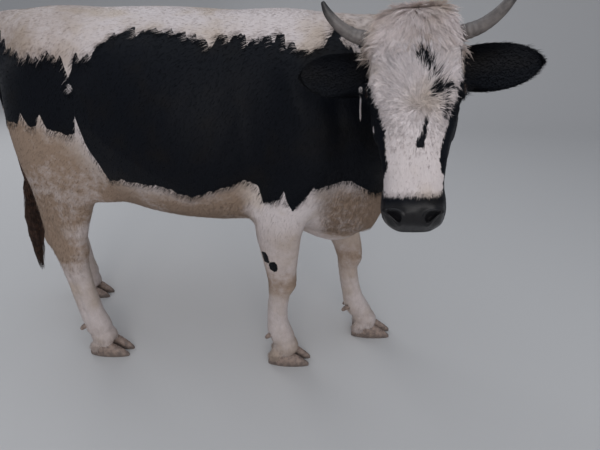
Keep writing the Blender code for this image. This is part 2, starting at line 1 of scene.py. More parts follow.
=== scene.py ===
"""A standing black and white cow with its head turned to its right, as a museum shows it.

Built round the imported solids: one skin over all the flesh, eyes, horns and hooves,
then the coat as solid tufts that lie over the skin.
"""

import json
from math import cos, pi, radians, sin

import bmesh
import bpy
import numpy as np
from mathutils import Matrix, Vector

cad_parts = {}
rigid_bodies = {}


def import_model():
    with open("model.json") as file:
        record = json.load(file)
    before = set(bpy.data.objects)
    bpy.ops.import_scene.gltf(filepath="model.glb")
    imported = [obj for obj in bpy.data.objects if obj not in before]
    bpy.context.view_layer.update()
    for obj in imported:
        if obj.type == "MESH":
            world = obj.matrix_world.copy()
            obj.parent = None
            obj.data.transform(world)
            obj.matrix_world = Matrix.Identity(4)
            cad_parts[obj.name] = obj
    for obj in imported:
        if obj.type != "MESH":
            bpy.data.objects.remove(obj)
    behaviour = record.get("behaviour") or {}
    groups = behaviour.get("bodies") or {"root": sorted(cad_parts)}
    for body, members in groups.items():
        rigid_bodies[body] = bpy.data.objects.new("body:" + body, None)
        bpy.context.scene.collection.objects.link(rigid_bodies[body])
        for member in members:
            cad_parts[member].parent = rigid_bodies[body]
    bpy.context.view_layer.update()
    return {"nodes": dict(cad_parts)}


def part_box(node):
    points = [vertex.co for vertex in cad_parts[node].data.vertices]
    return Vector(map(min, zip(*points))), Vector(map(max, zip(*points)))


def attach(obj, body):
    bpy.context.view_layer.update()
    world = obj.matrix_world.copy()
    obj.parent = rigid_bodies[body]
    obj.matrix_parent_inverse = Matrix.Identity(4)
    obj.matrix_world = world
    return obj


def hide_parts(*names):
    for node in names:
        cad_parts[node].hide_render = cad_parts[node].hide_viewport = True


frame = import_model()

# ------------------------------------------------------------------ the standpoint
# A bare studio.  A pale floor sweeps up into a backdrop well behind the animal, and the
# eye stands at the height of the withers, close to the right shoulder, looking down.
EYE_HEIGHT = 1.38
EYE_PLACE = (0.5707, -1.3963, EYE_HEIGHT)
EYE_TURN, EYE_DIP = radians(10), radians(27)
LENS = 27

view_ahead = Vector((-sin(EYE_TURN) * cos(EYE_DIP), cos(EYE_TURN) * cos(EYE_DIP), -sin(EYE_DIP)))
camera = bpy.data.objects.new("camera", bpy.data.cameras.new("camera"))
camera.data.lens = LENS
camera.data.sensor_width = 36
camera.location = EYE_PLACE
camera.rotation_euler = view_ahead.to_track_quat("-Z", "Y").to_euler()
bpy.context.scene.collection.objects.link(camera)
bpy.context.scene.camera = camera


def grid_faces(rows, columns, wrap=False):
    """Corner numbers of the quads of a grid of rows by columns points, wrapped round or not."""
    across = columns if wrap else columns - 1
    row, column = np.meshgrid(np.arange(rows - 1) * columns, np.arange(across), indexing="ij")
    after = (column + 1) % columns
    quads = np.stack([row + column, row + after, row + columns + after, row + columns + column], -1)
    return quads.reshape(-1, 4)


def mesh_object(name, points, faces):
    """A smooth mesh object from arrays: points (n, 3) and faces (m, 3) or (m, 4)."""
    mesh = bpy.data.meshes.new(name)
    sides = faces.shape[1]
    mesh.vertices.add(len(points))
    mesh.vertices.foreach_set("co", np.ascontiguousarray(points, np.float32).ravel())
    mesh.loops.add(faces.size)
    mesh.loops.foreach_set("vertex_index", faces.astype(np.int32).ravel())
    mesh.polygons.add(len(faces))
    mesh.polygons.foreach_set("loop_start", np.arange(0, faces.size, sides, dtype=np.int32))
    mesh.update(calc_edges=True)
    mesh.validate()
    mesh.shade_smooth()
    made = bpy.data.objects.new(name, mesh)
    bpy.context.scene.collection.objects.link(made)
    return made


def finish_of(name):
    """A new material, its node tree and its Principled shader."""
    made = bpy.data.materials.new(name)
    made.use_nodes = True
    return made, made.node_tree, made.node_tree.nodes["Principled BSDF"]


STUDIO_WIDTH, STUDIO_DEPTH, SWEEP = 16.0, 6.5, 2.5
FLOOR_START, WALL_TOP = -7.0, 7.0

# The floor runs flat, then turns up through a quarter circle into the wall.
arc = np.linspace(0, pi / 2, 17)
profile = np.vstack([
    [[FLOOR_START, 0.0]],
    np.stack([STUDIO_DEPTH - SWEEP + SWEEP * np.sin(arc), SWEEP - SWEEP * np.cos(arc)], -1),
    [[STUDIO_DEPTH, WALL_TOP]],
])
widths = np.linspace(-STUDIO_WIDTH, STUDIO_WIDTH, 3)
sweep_points = np.stack([
    np.repeat(widths, len(profile)),
    np.tile(profile[:, 0], len(widths)),
    np.tile(profile[:, 1], len(widths)),
], -1)
floor = mesh_object("floor", sweep_points, grid_faces(len(widths), len(profile))[:, ::-1])
pale, tree, shader = finish_of("pale_floor")
shader.inputs["Base Color"].default_value = (0.56, 0.55, 0.545, 1)
shader.inputs["Roughness"].default_value = 0.85
floor.data.materials.append(pale)


def soft_light(name, place, aim, size, power, tint):
    """A square area light at place, turned towards aim."""
    lamp = bpy.data.lights.new(name, "AREA")
    lamp.size = size
    lamp.energy = power
    lamp.color = tint
    made = bpy.data.objects.new(name, lamp)
    made.location = place
    made.rotation_euler = (Vector(aim) - Vector(place)).to_track_quat("-Z", "Y").to_euler()
    bpy.context.scene.collection.objects.link(made)


soft_light("overhead", (0.3, -0.8, 4.6), (0, 0.1, 0.7), 4.8, 66, (0.86, 0.93, 1.0))
soft_light("front_fill", (1.6, -5.0, 2.6), (0, 0, 0.8), 3.6, 100, (1.0, 0.97, 0.955))
soft_light("rear_fill", (-3.5, 3.2, 3.2), (0, 0.1, 0.9), 3.0, 60, (0.95, 0.97, 1.0))
world = bpy.data.worlds.new("studio")
world.use_nodes = True
world.node_tree.nodes["Background"].inputs["Color"].default_value = (0.80, 0.85, 0.94, 1)
world.node_tree.nodes["Background"].inputs["Strength"].default_value = 0.38
bpy.context.scene.world = world
bpy.context.scene.view_settings.view_transform = "Standard"

# ------------------------------------------------------------------ the skin
# One hide over trunk, neck, head, ears, tail, udder and legs.  It takes the form of the
# solids, lies under them by the depth of the coat, and carries the folds, bones and veins.
SIDES = {"right": -1, "left": 1}
FLESH = ["head", "neck", "trunk", "tail", "udder"] + [
    f"{part}_{side}" for part in ("forearm", "foreleg", "thigh", "hindleg") for side in SIDES
]
SKIN_GRAIN = 0.0052
SPINE_Y = (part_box("trunk")[0].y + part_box("trunk")[1].y) / 2

# The head's own axes: across to the animal's left, down the face, and out of the face.
HEAD_HEADING, FACE_TILT, HEAD_ROLL = radians(-93.5), radians(70), radians(5.3)
heading = Vector((cos(HEAD_HEADING), sin(HEAD_HEADING), 0))
down_face = (heading * cos(FACE_TILT) - Vector((0, 0, 1)) * sin(FACE_TILT)).normalized()
across = Vector((0, 0, 1)).cross(heading)
front = down_face.cross(across).normalized()
roll = Matrix.Rotation(HEAD_ROLL, 3, front)
down_face, across = roll @ down_face, roll @ across
EYE_ACROSS, EYE_DOWN, EYE_FRONT, EYE_RADIUS = 0.0915, 0.180, 0.007, 0.0205
eyes_middle = sum((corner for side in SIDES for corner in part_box("eye_" + side)), Vector()) / 4
POLL = np.array(eyes_middle - down_face * EYE_DOWN - front * EYE_FRONT)
HEAD_AXES = np.array([across, down_face, front])


def on_head(place):
    """Points in the row's frame from (across, down, front) on the head."""
    return POLL + np.asarray(place, float) @ HEAD_AXES


def in_head(points):
    """(across, down, front) of points in the row's frame."""
    return (points - POLL) @ HEAD_AXES.T


def ramp(value, start, end):
    """0 before start, 1 after end, and a smooth S between them."""
    t = np.clip((value - start) / (end - start), 0, 1)
    return t * t * (3 - 2 * t)


def bell(points, centre, radii):
    """exp(-(distance)^2) from a centre, each axis counted in its own radius."""
    return np.exp(-(((points - np.array(centre)) / np.array(radii)) ** 2).sum(-1))


SKULL_MIDDLE = (0, 0.24, -0.06)


def skull_share(local):
    """1 on the head and ears, 0 on the neck behind them."""
    return ramp(-np.linalg.norm(local - SKULL_MIDDLE, axis=1), -0.36, -0.30)


def both_sides(local):
    """(distance from the head's middle plane, down, out): both halves of the head laid on one."""
    return np.c_[np.abs(local[:, 0]), local[:, 1:]]


def normals_of(points, triangles):
    """Unit normals at the points: the sum of the cross products of the triangles round each."""
    a, b, c = (points[triangles[:, k]] for k in range(3))
    cross = np.cross(b - a, c - a)
    total = np.stack([
        sum(np.bincount(triangles[:, k], cross[:, axis], len(points)) for k in range(3))
        for axis in range(3)
    ], -1)
    return total / np.maximum(np.linalg.norm(total, axis=1, keepdims=True), 1e-12)


# Where each foot's hide swells over its claws: (ahead of the heel, towards the claw's own side,
# height) and the three radii, in metres.
FOOT_FORMS = [
    ((0.034, 0.0285, 0.0345), (0.0370, 0.0300, 0.0300)),
    ((0.072, 0.0240, 0.0520), (0.0340, 0.0270, 0.0180)),
    ((0.058, 0.0150, 0.0640), (0.0460, 0.0330, 0.0240)),
]


def joined_flesh():
    """What the skin covers, as one loose mesh: the flesh nodes, and round forms under the lids, horns
    and ears and over the heels of the claws."""
    bm = bmesh.new()
    for name in FLESH:
        bm.from_mesh(frame["nodes"][name].data)
    bmesh.ops.remove_doubles(bm, verts=bm.verts, dist=0.00001)
    bm.normal_update()
    for side in SIDES.values():
        for across, down, out, radius in (
            (EYE_ACROSS - 0.001, EYE_DOWN, EYE_FRONT, EYE_RADIUS + 0.0032),   # under the lids
            (0.082, 0.053, -0.027, 0.0250),                                   # round the horn's root
            (0.082, 0.116, -0.056, 0.0270),                                   # the ear's root
            (0.080, 0.142, -0.058, 0.0260),
        ):
            place = on_head((side * across, down, out))
            bmesh.ops.create_uvsphere(bm, u_segments=32, v_segments=20, radius=radius,
                                      matrix=Matrix.Translation(place))
    for foot in (f"{pair}_{side}" for pair in ("front", "hind") for side in SIDES):
        low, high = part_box(f"claw_{foot}_inner")
        far_low, far_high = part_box(f"claw_{foot}_outer")
        middle_y = (low.y + high.y + far_low.y + far_high.y) / 4
        for (ahead, aside, height), radii in FOOT_FORMS:
            for side in (-1, 1):
                place = Matrix.Translation((low.x + ahead, middle_y + side * aside, height))
                bmesh.ops.create_uvsphere(bm, u_segments=32, v_segments=20, radius=1,
                                          matrix=place @ Matrix.Diagonal((*radii, 1)))
    mesh = bpy.data.meshes.new("skin")
    bm.to_mesh(mesh)
    bm.free()
    made = bpy.data.objects.new("skin", mesh)
    bpy.context.scene.collection.objects.link(made)
    return made


def settle(obj):
    """Applies the object's modifiers to its mesh."""
    mesh = bpy.data.meshes.new_from_object(obj.evaluated_get(bpy.context.evaluated_depsgraph_get()))
    obj.modifiers.clear()
    old = obj.data
    obj.data = mesh
    bpy.data.meshes.remove(old)


def positions(mesh):
    """The mesh's points as an (n, 3) array."""
    flat = np.empty(len(mesh.vertices) * 3, np.float32)
    mesh.vertices.foreach_get("co", flat)
    return flat.reshape(-1, 3).astype(float)


def weigh(obj, name, weights):
    """A vertex group from an array of weights, rounded to eighths."""
    group = obj.vertex_groups.new(name=name)
    eighths = np.round(weights * 8).astype(int)
    for level in range(1, 9):
        group.add(np.flatnonzero(eighths == level).tolist(), level / 8, "REPLACE")


def soften(obj, rounds, group):
    """A Smooth modifier of so many rounds, where the vertex group has weight."""
    made = obj.modifiers.new("soften", "SMOOTH")
    made.factor = 0.5
    made.iterations = rounds
    made.vertex_group = group


def mend(mesh, merge=0.0, outwards=False, in_thirds=False):
    """Merges the corners nearer than merge, turns the faces outwards, and cuts them into triangles."""
    bm = bmesh.new()
    bm.from_mesh(mesh)
    if merge:
        bmesh.ops.remove_doubles(bm, verts=bm.verts, dist=merge)
    if outwards:
        bmesh.ops.recalc_face_normals(bm, faces=bm.faces)
    if in_thirds:
        bmesh.ops.triangulate(bm, faces=bm.faces)
    bm.to_mesh(mesh)
    bm.free()


def refine(obj, chosen):
    """Splits every edge whose two ends are chosen, and so each face inside into four."""
    bm = bmesh.new()
    bm.from_mesh(obj.data)
    flags = chosen.tolist()
    edges = [e for e in bm.edges if flags[e.verts[0].index] and flags[e.verts[1].index]]
    bmesh.ops.subdivide_edges(bm, edges=edges, cuts=1, use_grid_fill=True, smooth=0.0)
    bm.to_mesh(obj.data)
    bm.free()


skin = joined_flesh()
fuse = skin.modifiers.new("fuse", "REMESH")
fuse.mode = "VOXEL"
fuse.voxel_size = SKIN_GRAIN
settle(skin)

# The trunk is softened broadly, the tail only a little.
place = positions(skin.data)
in_tail = ramp(-place[:, 0], 0.77, 0.81) * ramp(-np.abs(place[:, 1] - SPINE_Y), -0.08, -0.06)
weigh(skin, "broad", ramp(place[:, 2], 0.62, 0.80) * (1 - skull_share(in_head(place))) * (1 - in_tail))
weigh(skin, "firm", 1 - 0.6 * in_tail)
soften(skin, 14, "firm")
soften(skin, 130, "broad")
settle(skin)

# The eyes, lips and nostrils need a finer grain than the trunk.
MUZZLE_START, MUZZLE_END = 0.385, 0.53


def eye_centre(side):
    """The middle of an eyeball on the head."""
    return np.array([side * EYE_ACROSS, EYE_DOWN, EYE_FRONT])


def near_eyes(points, reach):
    """True for the points nearer to an eye's middle than reach."""
    off = [np.linalg.norm(points - on_head(eye_centre(side)), axis=1) for side in SIDES.values()]
    return np.min(off, axis=0) < reach


def mouth_line(down):
    """How far out of the face the gap between the lips runs, at a distance down the face."""
    return np.interp(down, [0.39, 0.42, 0.46, 0.485, 0.500], [-0.027, -0.024, -0.014, -0.004, 0.002])


def eye_frame(side):
    """The eye's own axes: along the slit between the lids, across it, and out of the eye."""
    look = np.array([0.90 * side, 0.02, 0.42])
    look /= np.linalg.norm(look)
    along = np.array([0.0, 1.0, -0.22])
    along -= look * (along @ look)
    along /= np.linalg.norm(along)
    return np.stack([along, np.cross(look, along) * side, look])


SLIT_LENGTH, SLIT_ABOVE, SLIT_BELOW = 0.80, 0.50, 0.42
LID_REACH, LID_ZONE = EYE_RADIUS + 0.0012, 0.036


def slit_share(along, over):
    """Under 1 inside the slit between the lids: two parabolas that meet at its corners."""
    return np.abs(over) / np.where(over > 0, SLIT_ABOVE, SLIT_BELOW) + (along / SLIT_LENGTH) ** 2


def within(value, low, high):
    """True where a value lies between two bounds."""
    return (value > low) & (value < high)


def lid_share(local):
    """The slit's share for points on the head, the lesser of the two eyes', far from both 9."""
    least = np.full(len(local), 9.0)
    for side in SIDES.values():
        off = local - eye_centre(side)
        reach = np.linalg.norm(off, axis=1)
        along, over, out = (off / reach[:, None] @ eye_frame(side).T).T
        share = np.where((reach < 0.034) & (out > -0.1), slit_share(along, over), 9.0)
        least = np.minimum(least, share)
    return least


side, down, out = both_sides(in_head(positions(skin.data))).T
muzzle = within(down, MUZZLE_START, MUZZLE_END) & (side < 0.1) & within(out, -0.1, 0.1)
refine(skin, muzzle | near_eyes(positions(skin.data), 0.040))
side, down, out = both_sides(in_head(positions(skin.data))).T
at_nostrils = within(down, 0.432, 0.482) & (np.abs(side - 0.040) < 0.024) & within(out, 0.02, 0.09)
at_lips = within(down, 0.39, MUZZLE_END) & (np.abs(out - mouth_line(down)) < 0.010) & (side < 0.1)
refine(skin, near_eyes(positions(skin.data), 0.0315) | at_nostrils | at_lips)
refine(skin, within(lid_share(in_head(positions(skin.data))), 0.62, 1.30))
place = positions(skin.data)
weigh(skin, "rough", near_eyes(place, 0.045) | (in_head(place)[:, 1] > MUZZLE_START))
soften(skin, 4, "rough")
settle(skin)
mend(skin.data, in_thirds=True)


def triangles_of(mesh):
    """The mesh's triangles as an (m, 3) array; the mesh holds nothing else."""
    flat = np.empty(len(mesh.loops), np.int32)
    mesh.loops.foreach_get("vertex_index", flat)
    return flat.reshape(-1, 3)


# Where each leg's middle runs, seen from the side: (x, z) at the foot, the knee or hock, and the top.
LEG_LINES = {
    "front_right": [(0.265, 0.05), (0.251, 0.40), (0.255, 0.74)],
    "front_left": [(0.595, 0.05), (0.489, 0.40), (0.345, 0.74)],
    "hind_right": [(-0.503, 0.05), (-0.577, 0.50), (-0.540, 0.80)],
    "hind_left": [(-0.817, 0.05), (-0.837, 0.50), (-0.595, 0.80)],
}
MID_BODY = -0.10


def leg_frame(points):
    """How far ahead of the middle line of their leg points lie, and whether it is a front leg."""
    is_front = points[:, 0] > MID_BODY
    is_left = points[:, 1] > SPINE_Y
    ahead = np.zeros(len(points))
    for name, line in LEG_LINES.items():
        chosen = (is_front == name.startswith("front")) & (is_left == name.endswith("left"))
        x, z = np.array(line).T
        ahead[chosen] = points[chosen, 0] - np.interp(points[chosen, 2], z, x)
    return ahead, is_front


def ridge(distance, width):
    """A rounded ridge: exp(-(distance / width)^2)."""
    return np.exp(-((distance / width) ** 2))


# Bones and hollows of the trunk: rise, (x, out from the spine's plane, height) and radii, in metres.
TRUNK_FORMS = {
    "hip bone": (0.007, (-0.488, 0.225, 1.238), (0.050, 0.05, 0.030)),
    "seat bone": (0.005, (-0.735, 0.110, 1.200), (0.035, 0.04, 0.040)),
    "hollow before the hip": (-0.017, (-0.365, 0.240, 1.185), (0.085, 0.10, 0.060)),
    "hollow of the rump": (-0.008, (-0.610, 0.190, 1.230), (0.075, 0.06, 0.050)),
    "point of the shoulder": (0.009, (0.505, 0.185, 0.895), (0.045, 0.05, 0.050)),
    "hollow before the shoulder": (-0.006, (0.420, 0.200, 0.990), (0.040, 0.06, 0.060)),
}


def standing(points, forms):
    """The rise of a table of forms: each one's rise times its bell, summed."""
    return sum(rise * bell(points, centre, radii) for rise, centre, radii in forms.values())


def body_relief(points):
    """How far bones, hollows and folds stand out of the plain form of the body, in metres: the trunk's
    forms, the last rib, the ribs behind the shoulder, the blade and the milk vein as rounded ridges."""
    x, z = points[:, 0], points[:, 2]
    out = np.abs(points[:, 1] - SPINE_Y)
    side_on = ramp(out, 0.09, 0.16)
    relief = standing(np.stack([x, out, z], -1), TRUNK_FORMS)
    rib_edge = -0.315 + 0.75 * (1.22 - z) - 0.16 * np.sin(7.9 * (1.22 - z)) ** 2
    flank = ramp(z, 0.74, 0.86) * ramp(-z, -1.26, -1.14) * side_on
    relief += 0.0032 * ridge(x - rib_edge, 0.045) * flank
    ribs = np.sin(2 * pi * (x + 0.60 * np.maximum(1.22 - z, 0) ** 1.3) / 0.062)
    relief += 0.0006 * ribs * flank * ramp(x, -0.27, -0.12) * ramp(-x, -0.22, -0.10)
    blade = x - (0.275 + 0.46 * (1.26 - z)) + 0.020 * np.sin(14 * (z - 1.0))
    relief += 0.0042 * ridge(blade, 0.034) * ramp(z, 0.92, 1.06) * ramp(-z, -1.28, -1.16) * side_on
    behind_elbow = ridge(x - 0.165 - 0.10 * (1.1 - z), 0.040) * ramp(z, 0.72, 0.84) * ramp(-z, -1.22, -1.08)
    relief -= 0.009 * behind_elbow * side_on
    vein = out - 0.105 - 0.010 * np.sin(34 * x) - 0.006 * np.sin(59 * x + 1)
    on_belly = ramp(-z, -0.72, -0.66) * ramp(x, -0.38, -0.30) * ramp(-x, -0.12, -0.04)
    return relief + 0.004 * ridge(vein, 0.010) * on_belly


def leg_relief(points):
    """Tendons, the hollow before the hock's cord, knee and fetlock, as a rise in metres."""
    ahead, is_front = leg_frame(points)
    z = points[:, 2]
    low = ramp(-z, -0.72, -0.60)
    cannon = ramp(z, 0.15, 0.20) * ramp(-z, -0.36, -0.31)
    relief = -0.0035 * ridge(ahead + 0.020, 0.009) * cannon * is_front
    shank = ramp(z, 0.16, 0.21) * ramp(-z, -0.44, -0.38)
    relief -= 0.0040 * ridge(ahead + 0.030, 0.010) * shank * ~is_front
    relief -= 0.0090 * ridge(ahead + 0.030, 0.017) * ridge(z - 0.590, 0.055) * ~is_front
    relief += 0.0030 * ridge(ahead - 0.030, 0.022) * ridge(z - 0.425, 0.022) * is_front
    relief += 0.0025 * ridge(ahead - 0.030, 0.022) * ridge(z - 0.375, 0.018) * is_front
    relief -= 0.0020 * ridge(z - 0.400, 0.006) * ramp(ahead, 0.0, 0.02) * is_front
    relief -= 0.0030 * ridge(z - 0.108 - 0.25 * ahead, 0.010)
    return relief * low


BEND_CENTRE = np.array([0.455, -0.130])


def neck_relief(points):
    """Folds of loose skin that fan out from the inside of the neck's bend, and down the throat."""
    x, y, z = points.T
    off = points[:, :2] - BEND_CENTRE
    turn = np.arctan2(off[:, 1], off[:, 0])
    radius = np.linalg.norm(off, axis=1)
    on_neck = ramp(radius, 0.02, 0.06) * ramp(-radius, -0.36, -0.26) * ramp(x, 0.38, 0.44)
    on_neck *= ramp(-z, -1.28, -1.18) * ramp(z, 0.86, 0.98)
    folds = np.sin(26 * turn + 3.0 * np.sin(7 * z) + 1.2 * np.sin(19 * z))
    relief = 0.0016 * folds * on_neck * ramp(radius, 0.07, 0.14)
    throat = ramp(x, 0.42, 0.50) * ramp(-z, -0.86, -0.74) * ramp(z, 0.52, 0.58)
    relief += 0.0030 * np.sin(70 * x + 9 * z) * throat * ramp(-np.abs(y - SPINE_Y), -0.10, -0.05)
    return relief


# Bones, hollows and swellings of the head: rise, (across, down, out) and radii, in metres.
HEAD_FORMS = {
    "brow": (0.0050, (0.090, 0.150, 0.026), (0.018, 0.020, 0.018)),
    "groove beside the brow": (-0.0030, (0.062, 0.120, 0.045), (0.016, 0.036, 0.020)),
    "boss of the forehead": (0.0015, (0.000, 0.105, 0.045), (0.050, 0.050, 0.030)),
    "hollow below the eye": (-0.0050, (0.078, 0.262, 0.030), (0.020, 0.045, 0.016)),
    "hollow of the cheek": (-0.0060, (0.074, 0.352, -0.045), (0.024, 0.034, 0.026)),
    "edge of the jaw's muscle": (-0.0040, (0.070, 0.300, -0.080), (0.030, 0.012, 0.040)),
    "jaw's muscle": (0.0040, (0.088, 0.235, -0.090), (0.030, 0.050, 0.045)),
    "outer wing of the nostril": (0.0035, (0.058, 0.450, 0.036), (0.014, 0.022, 0.018)),
    "pad between the nostrils": (0.0025, (0.000, 0.470, 0.040), (0.022, 0.018, 0.020)),
    "chin": (0.0040, (0.000, 0.478, -0.036), (0.040, 0.026, 0.020)),
}


def head_relief(local):
    """The head's forms, the cheek bone, the nose bones, the lip's groove, the chin's fold and the gap
    between the lips, as a rise in metres."""
    folded = both_sides(local)
    side, down, out = folded.T
    relief = standing(folded, HEAD_FORMS)
    crest = side - np.interp(down, [0.215, 0.34], [0.094, 0.074])
    crest = np.hypot(crest, out + np.interp(down, [0.215, 0.34], [0.000, 0.022]))
    relief += 0.0045 * ridge(crest, 0.012) * ramp(down, 0.20, 0.225) * ramp(-down, -0.35, -0.32)
    on_bridge = ramp(down, 0.23, 0.28) * ramp(-down, -0.42, -0.38) * ramp(out, 0.01, 0.03)
    relief += 0.0009 * ridge(side - 0.030, 0.014) * on_bridge
    relief -= 0.0020 * ridge(side, 0.0028) * ramp(down, 0.452, 0.466) * ramp(out, 0.0, 0.01)
    chin_fold = down - 0.452 + 2.0 * (out + 0.05) ** 2
    relief -= 0.0030 * ridge(chin_fold, 0.008) * ramp(-out, 0.028, 0.040)
    lips = out - mouth_line(down)
    at_mouth = ramp(down, 0.395, 0.415)
    relief -= 0.0048 * ridge(lips, 0.0021) * at_mouth
    relief += 0.0018 * (ridge(lips - 0.0065, 0.004) + ridge(lips + 0.0065, 0.004)) * at_mouth
    return relief


NOSTRIL_ACROSS, NOSTRIL_DOWN, NOSTRIL_SLANT = 0.0395, 0.4555, radians(-38)


def nostril_share(local):
    """Distance from a nostril's middle, 1 at its rim, which is a slanting comma, wider at its inner end;
    and whether the point is on the front of the nose."""
    da, dd = np.abs(local[:, 0]) - NOSTRIL_ACROSS, local[:, 1] - NOSTRIL_DOWN
    along = da * cos(NOSTRIL_SLANT) + dd * sin(NOSTRIL_SLANT)
    aside = -da * sin(NOSTRIL_SLANT) + dd * cos(NOSTRIL_SLANT) - 16.0 * along**2
    half = 0.0078 - 0.16 * along
    reach = (along / 0.0175) ** 2 + (aside / half) ** 2
    return reach, local[:, 2] > 0.012


def coat_depth(points, local):
    """How far the skin lies under the solids' surface: the thickness of the coat there."""
    side, down, _ = both_sides(local).T
    near_head = skull_share(local)
    face = 0.0030 + 0.0080 * ramp(-down, -0.115, -0.050)
    face = face * (1 - ramp(down, 0.395, 0.425)) + 0.0004 * ramp(down, 0.395, 0.425)
    face = face * (1 - ramp(side, 0.10, 0.13)) + 0.0030 * ramp(side, 0.10, 0.13)
    body = 0.0040 - 0.0010 * ramp(-points[:, 2], -0.50, -0.30)
    bag = bell(points - (0, SPINE_Y, 0), (-0.525, 0, 0.70), (0.14, 0.10, 0.10))
    return (body - 0.003 * bag) * (1 - near_head) + face * near_head


def shape_lids(local):
    """The lids round each eyeball: inside the almond of the slit the skin sinks behind the ball,
    outside it keeps to a sphere over the ball, with a rim and a crease, and runs out into the face."""
    shaped = local.copy()
    for side in SIDES.values():
        centre = eye_centre(side)
        off = local - centre
        reach = np.linalg.norm(off, axis=1)
        chosen = reach < LID_ZONE
        off, reach = off[chosen], reach[chosen]
        along, over, out = (off / reach[:, None] @ eye_frame(side).T).T
        share = slit_share(along, over)
        on_ball = ramp(out, 0.20, 0.66)
        crease = np.where(over > 0, 0.0016 * ridge(share - 2.15, 0.16), 0.0009 * ridge(share - 2.0, 0.14))
        lid = LID_REACH + 0.0007 * ridge(share - 1.16, 0.14) - crease
        lid = lid + 0.0010 * ramp(share, 1.6, 3.0)
        new = reach + (lid - reach) * on_ball
        opened = ramp(-share, -1.0, -0.90) * ramp(out, 0.2, 0.3)
        new = new * (1 - opened) + (LID_REACH - 0.0062) * opened
        shaped[chosen] = centre + off / reach[:, None] * new[:, None]
    return shaped


points = positions(skin.data)
triangles = triangles_of(skin.data)
normal = normals_of(points, triangles)
local = in_head(points)
on_face = skull_share(local)
rise = (body_relief(points) + neck_relief(points)) * (1 - on_face) + leg_relief(points)
rise += head_relief(local) * on_face * ramp(-np.abs(local[:, 0]), -0.125, -0.105)
reach, faces_front = nostril_share(local)
rise += on_face * faces_front * (0.0020 * ridge(np.sqrt(reach) - 1.45, 0.28))
points = points + normal * (rise - coat_depth(points, local))[:, None]
sunk = 0.016 * ramp(-reach, -1.35, -0.25) * faces_front * on_face
points = points - sunk[:, None] * (HEAD_AXES[2] * 0.80 - HEAD_AXES[1] * 0.55)
points = on_head(shape_lids(in_head(points)))


def eased_points(points, triangles, share, rounds):
    """Each point moved towards the mean of the corners of its triangles, by its share, so many times."""
    corners = np.bincount(triangles.ravel(), minlength=len(points))[:, None]
    for _ in range(rounds):
        middle = points[triangles].sum(1)
        total = np.stack([
            sum(np.bincount(triangles[:, k], middle[:, axis], len(points)) for k in range(3))
            for axis in range(3)
        ], -1)
        points = points + share[:, None] * (total / (3 * corners) - points)
    return points


lids = lid_share(in_head(points))
points = eased_points(points, triangles, 0.5 * ((lids > 0.7) & (lids < 2.6)), 3)
skin.data.vertices.foreach_set("co", points.astype(np.float32).ravel())
skin.data.update()

# Each ear is a cupped leaf, joined on where it leaves the skull.
EAR_ROWS, EAR_AROUND, EAR_HALF_WIDTH = 56, 56, 0.0535
EAR_ROOT, EAR_ROOT_RADII = (0.098, 0.128, -0.058), (0.022, 0.052, 0.050)


def ear_points(side):
    """A cupped leaf: each section is a crescent, half * cos(v) wide, bent forward at its edges by
    cup * cos(v)^2 and wall * sin(v) thick.  The half width is EAR_HALF_WIDTH * (1 - |2w - 1|^2.4)^0.6."""
    u = np.linspace(0, 1, EAR_ROWS) ** 0.8
    v = np.linspace(0, 2 * pi, EAR_AROUND, endpoint=False)
    v = v - 0.35 * np.sin(2 * v)
    w = np.clip(0.13 + 0.87 * u, 0, 0.9975)
    half = EAR_HALF_WIDTH * (1 - np.abs(2 * w - 1) ** 2.4) ** 0.6
    reach = 0.066 + 0.217 * u**0.9
    middle = 0.129 - 0.015 * u
    depth = -0.057 - 0.026 * np.sin(pi * 0.5 * np.clip(u * 1.6, 0, 1)) + 0.006 * u**3
    cup = 0.030 * (1 - u) ** 0.8 + 0.004
    wall = 0.0014 + 0.0040 * (1 - u) ** 1.5
    c, s = np.cos(v), np.sin(v)
    ripple = 0.0020 * np.sin(9 * u + side)[:, None] * c**3
    veins = 0.0006 * np.sin(6 * pi * c) * (1 - c**2) * (s > 0) * ramp(u, 0.1, 0.3)[:, None]
    place = np.stack([
        side * np.broadcast_to(reach[:, None], (EAR_ROWS, EAR_AROUND)),
        middle[:, None] + half[:, None] * c,
        depth[:, None] + cup[:, None] * c**2 + wall[:, None] * s + ripple + veins,
    ], -1)
    faces = grid_faces(EAR_ROWS, EAR_AROUND, wrap=True)
    return on_head(place.reshape(-1, 3)), faces if side > 0 else faces[:, ::-1]


def closed_tube(points, faces, around):
    """The points and triangles of a tube grid closed by a fan at each end."""
    ends = np.stack([points[:around].mean(0), points[-around:].mean(0)])
    first, last = np.arange(around), np.arange(len(points) - around, len(points))
    flip = faces[0, 3] > faces[0, 0]
    pairs = np.stack([first, np.roll(first, -1)], -1)[:, :: -1 if flip else 1]
    tail_pairs = np.stack([last, np.roll(last, -1)], -1)[:, :: 1 if flip else -1]
    return np.vstack([points, ends]), np.vstack([
        faces[:, [0, 1, 2]],
        faces[:, [0, 2, 3]],
        np.c_[np.full(around, len(points)), pairs],
        np.c_[np.full(around, len(points) + 1), tail_pairs],
    ])


ears = []
for side in SIDES.values():
    ear = mesh_object("ear", *closed_tube(*ear_points(side), EAR_AROUND))
    join = skin.modifiers.new("join", "BOOLEAN")
    join.operation = "UNION"
    join.solver = "MANIFOLD"
    join.object = ear
    ears.append(ear)
settle(skin)
for ear in ears:
    bpy.data.objects.remove(ear)
mend(skin.data, in_thirds=True)
points, triangles = positions(skin.data), triangles_of(skin.data)
from_root = np.linalg.norm((both_sides(in_head(points)) - EAR_ROOT) / EAR_ROOT_RADII, axis=1)
root = ramp(-from_root, -1.0, -0.6)
points = eased_points(points, triangles, 0.5 * root, 8)
skin.data.vertices.foreach_set("co", points.astype(np.float32).ravel())
skin.data.update()


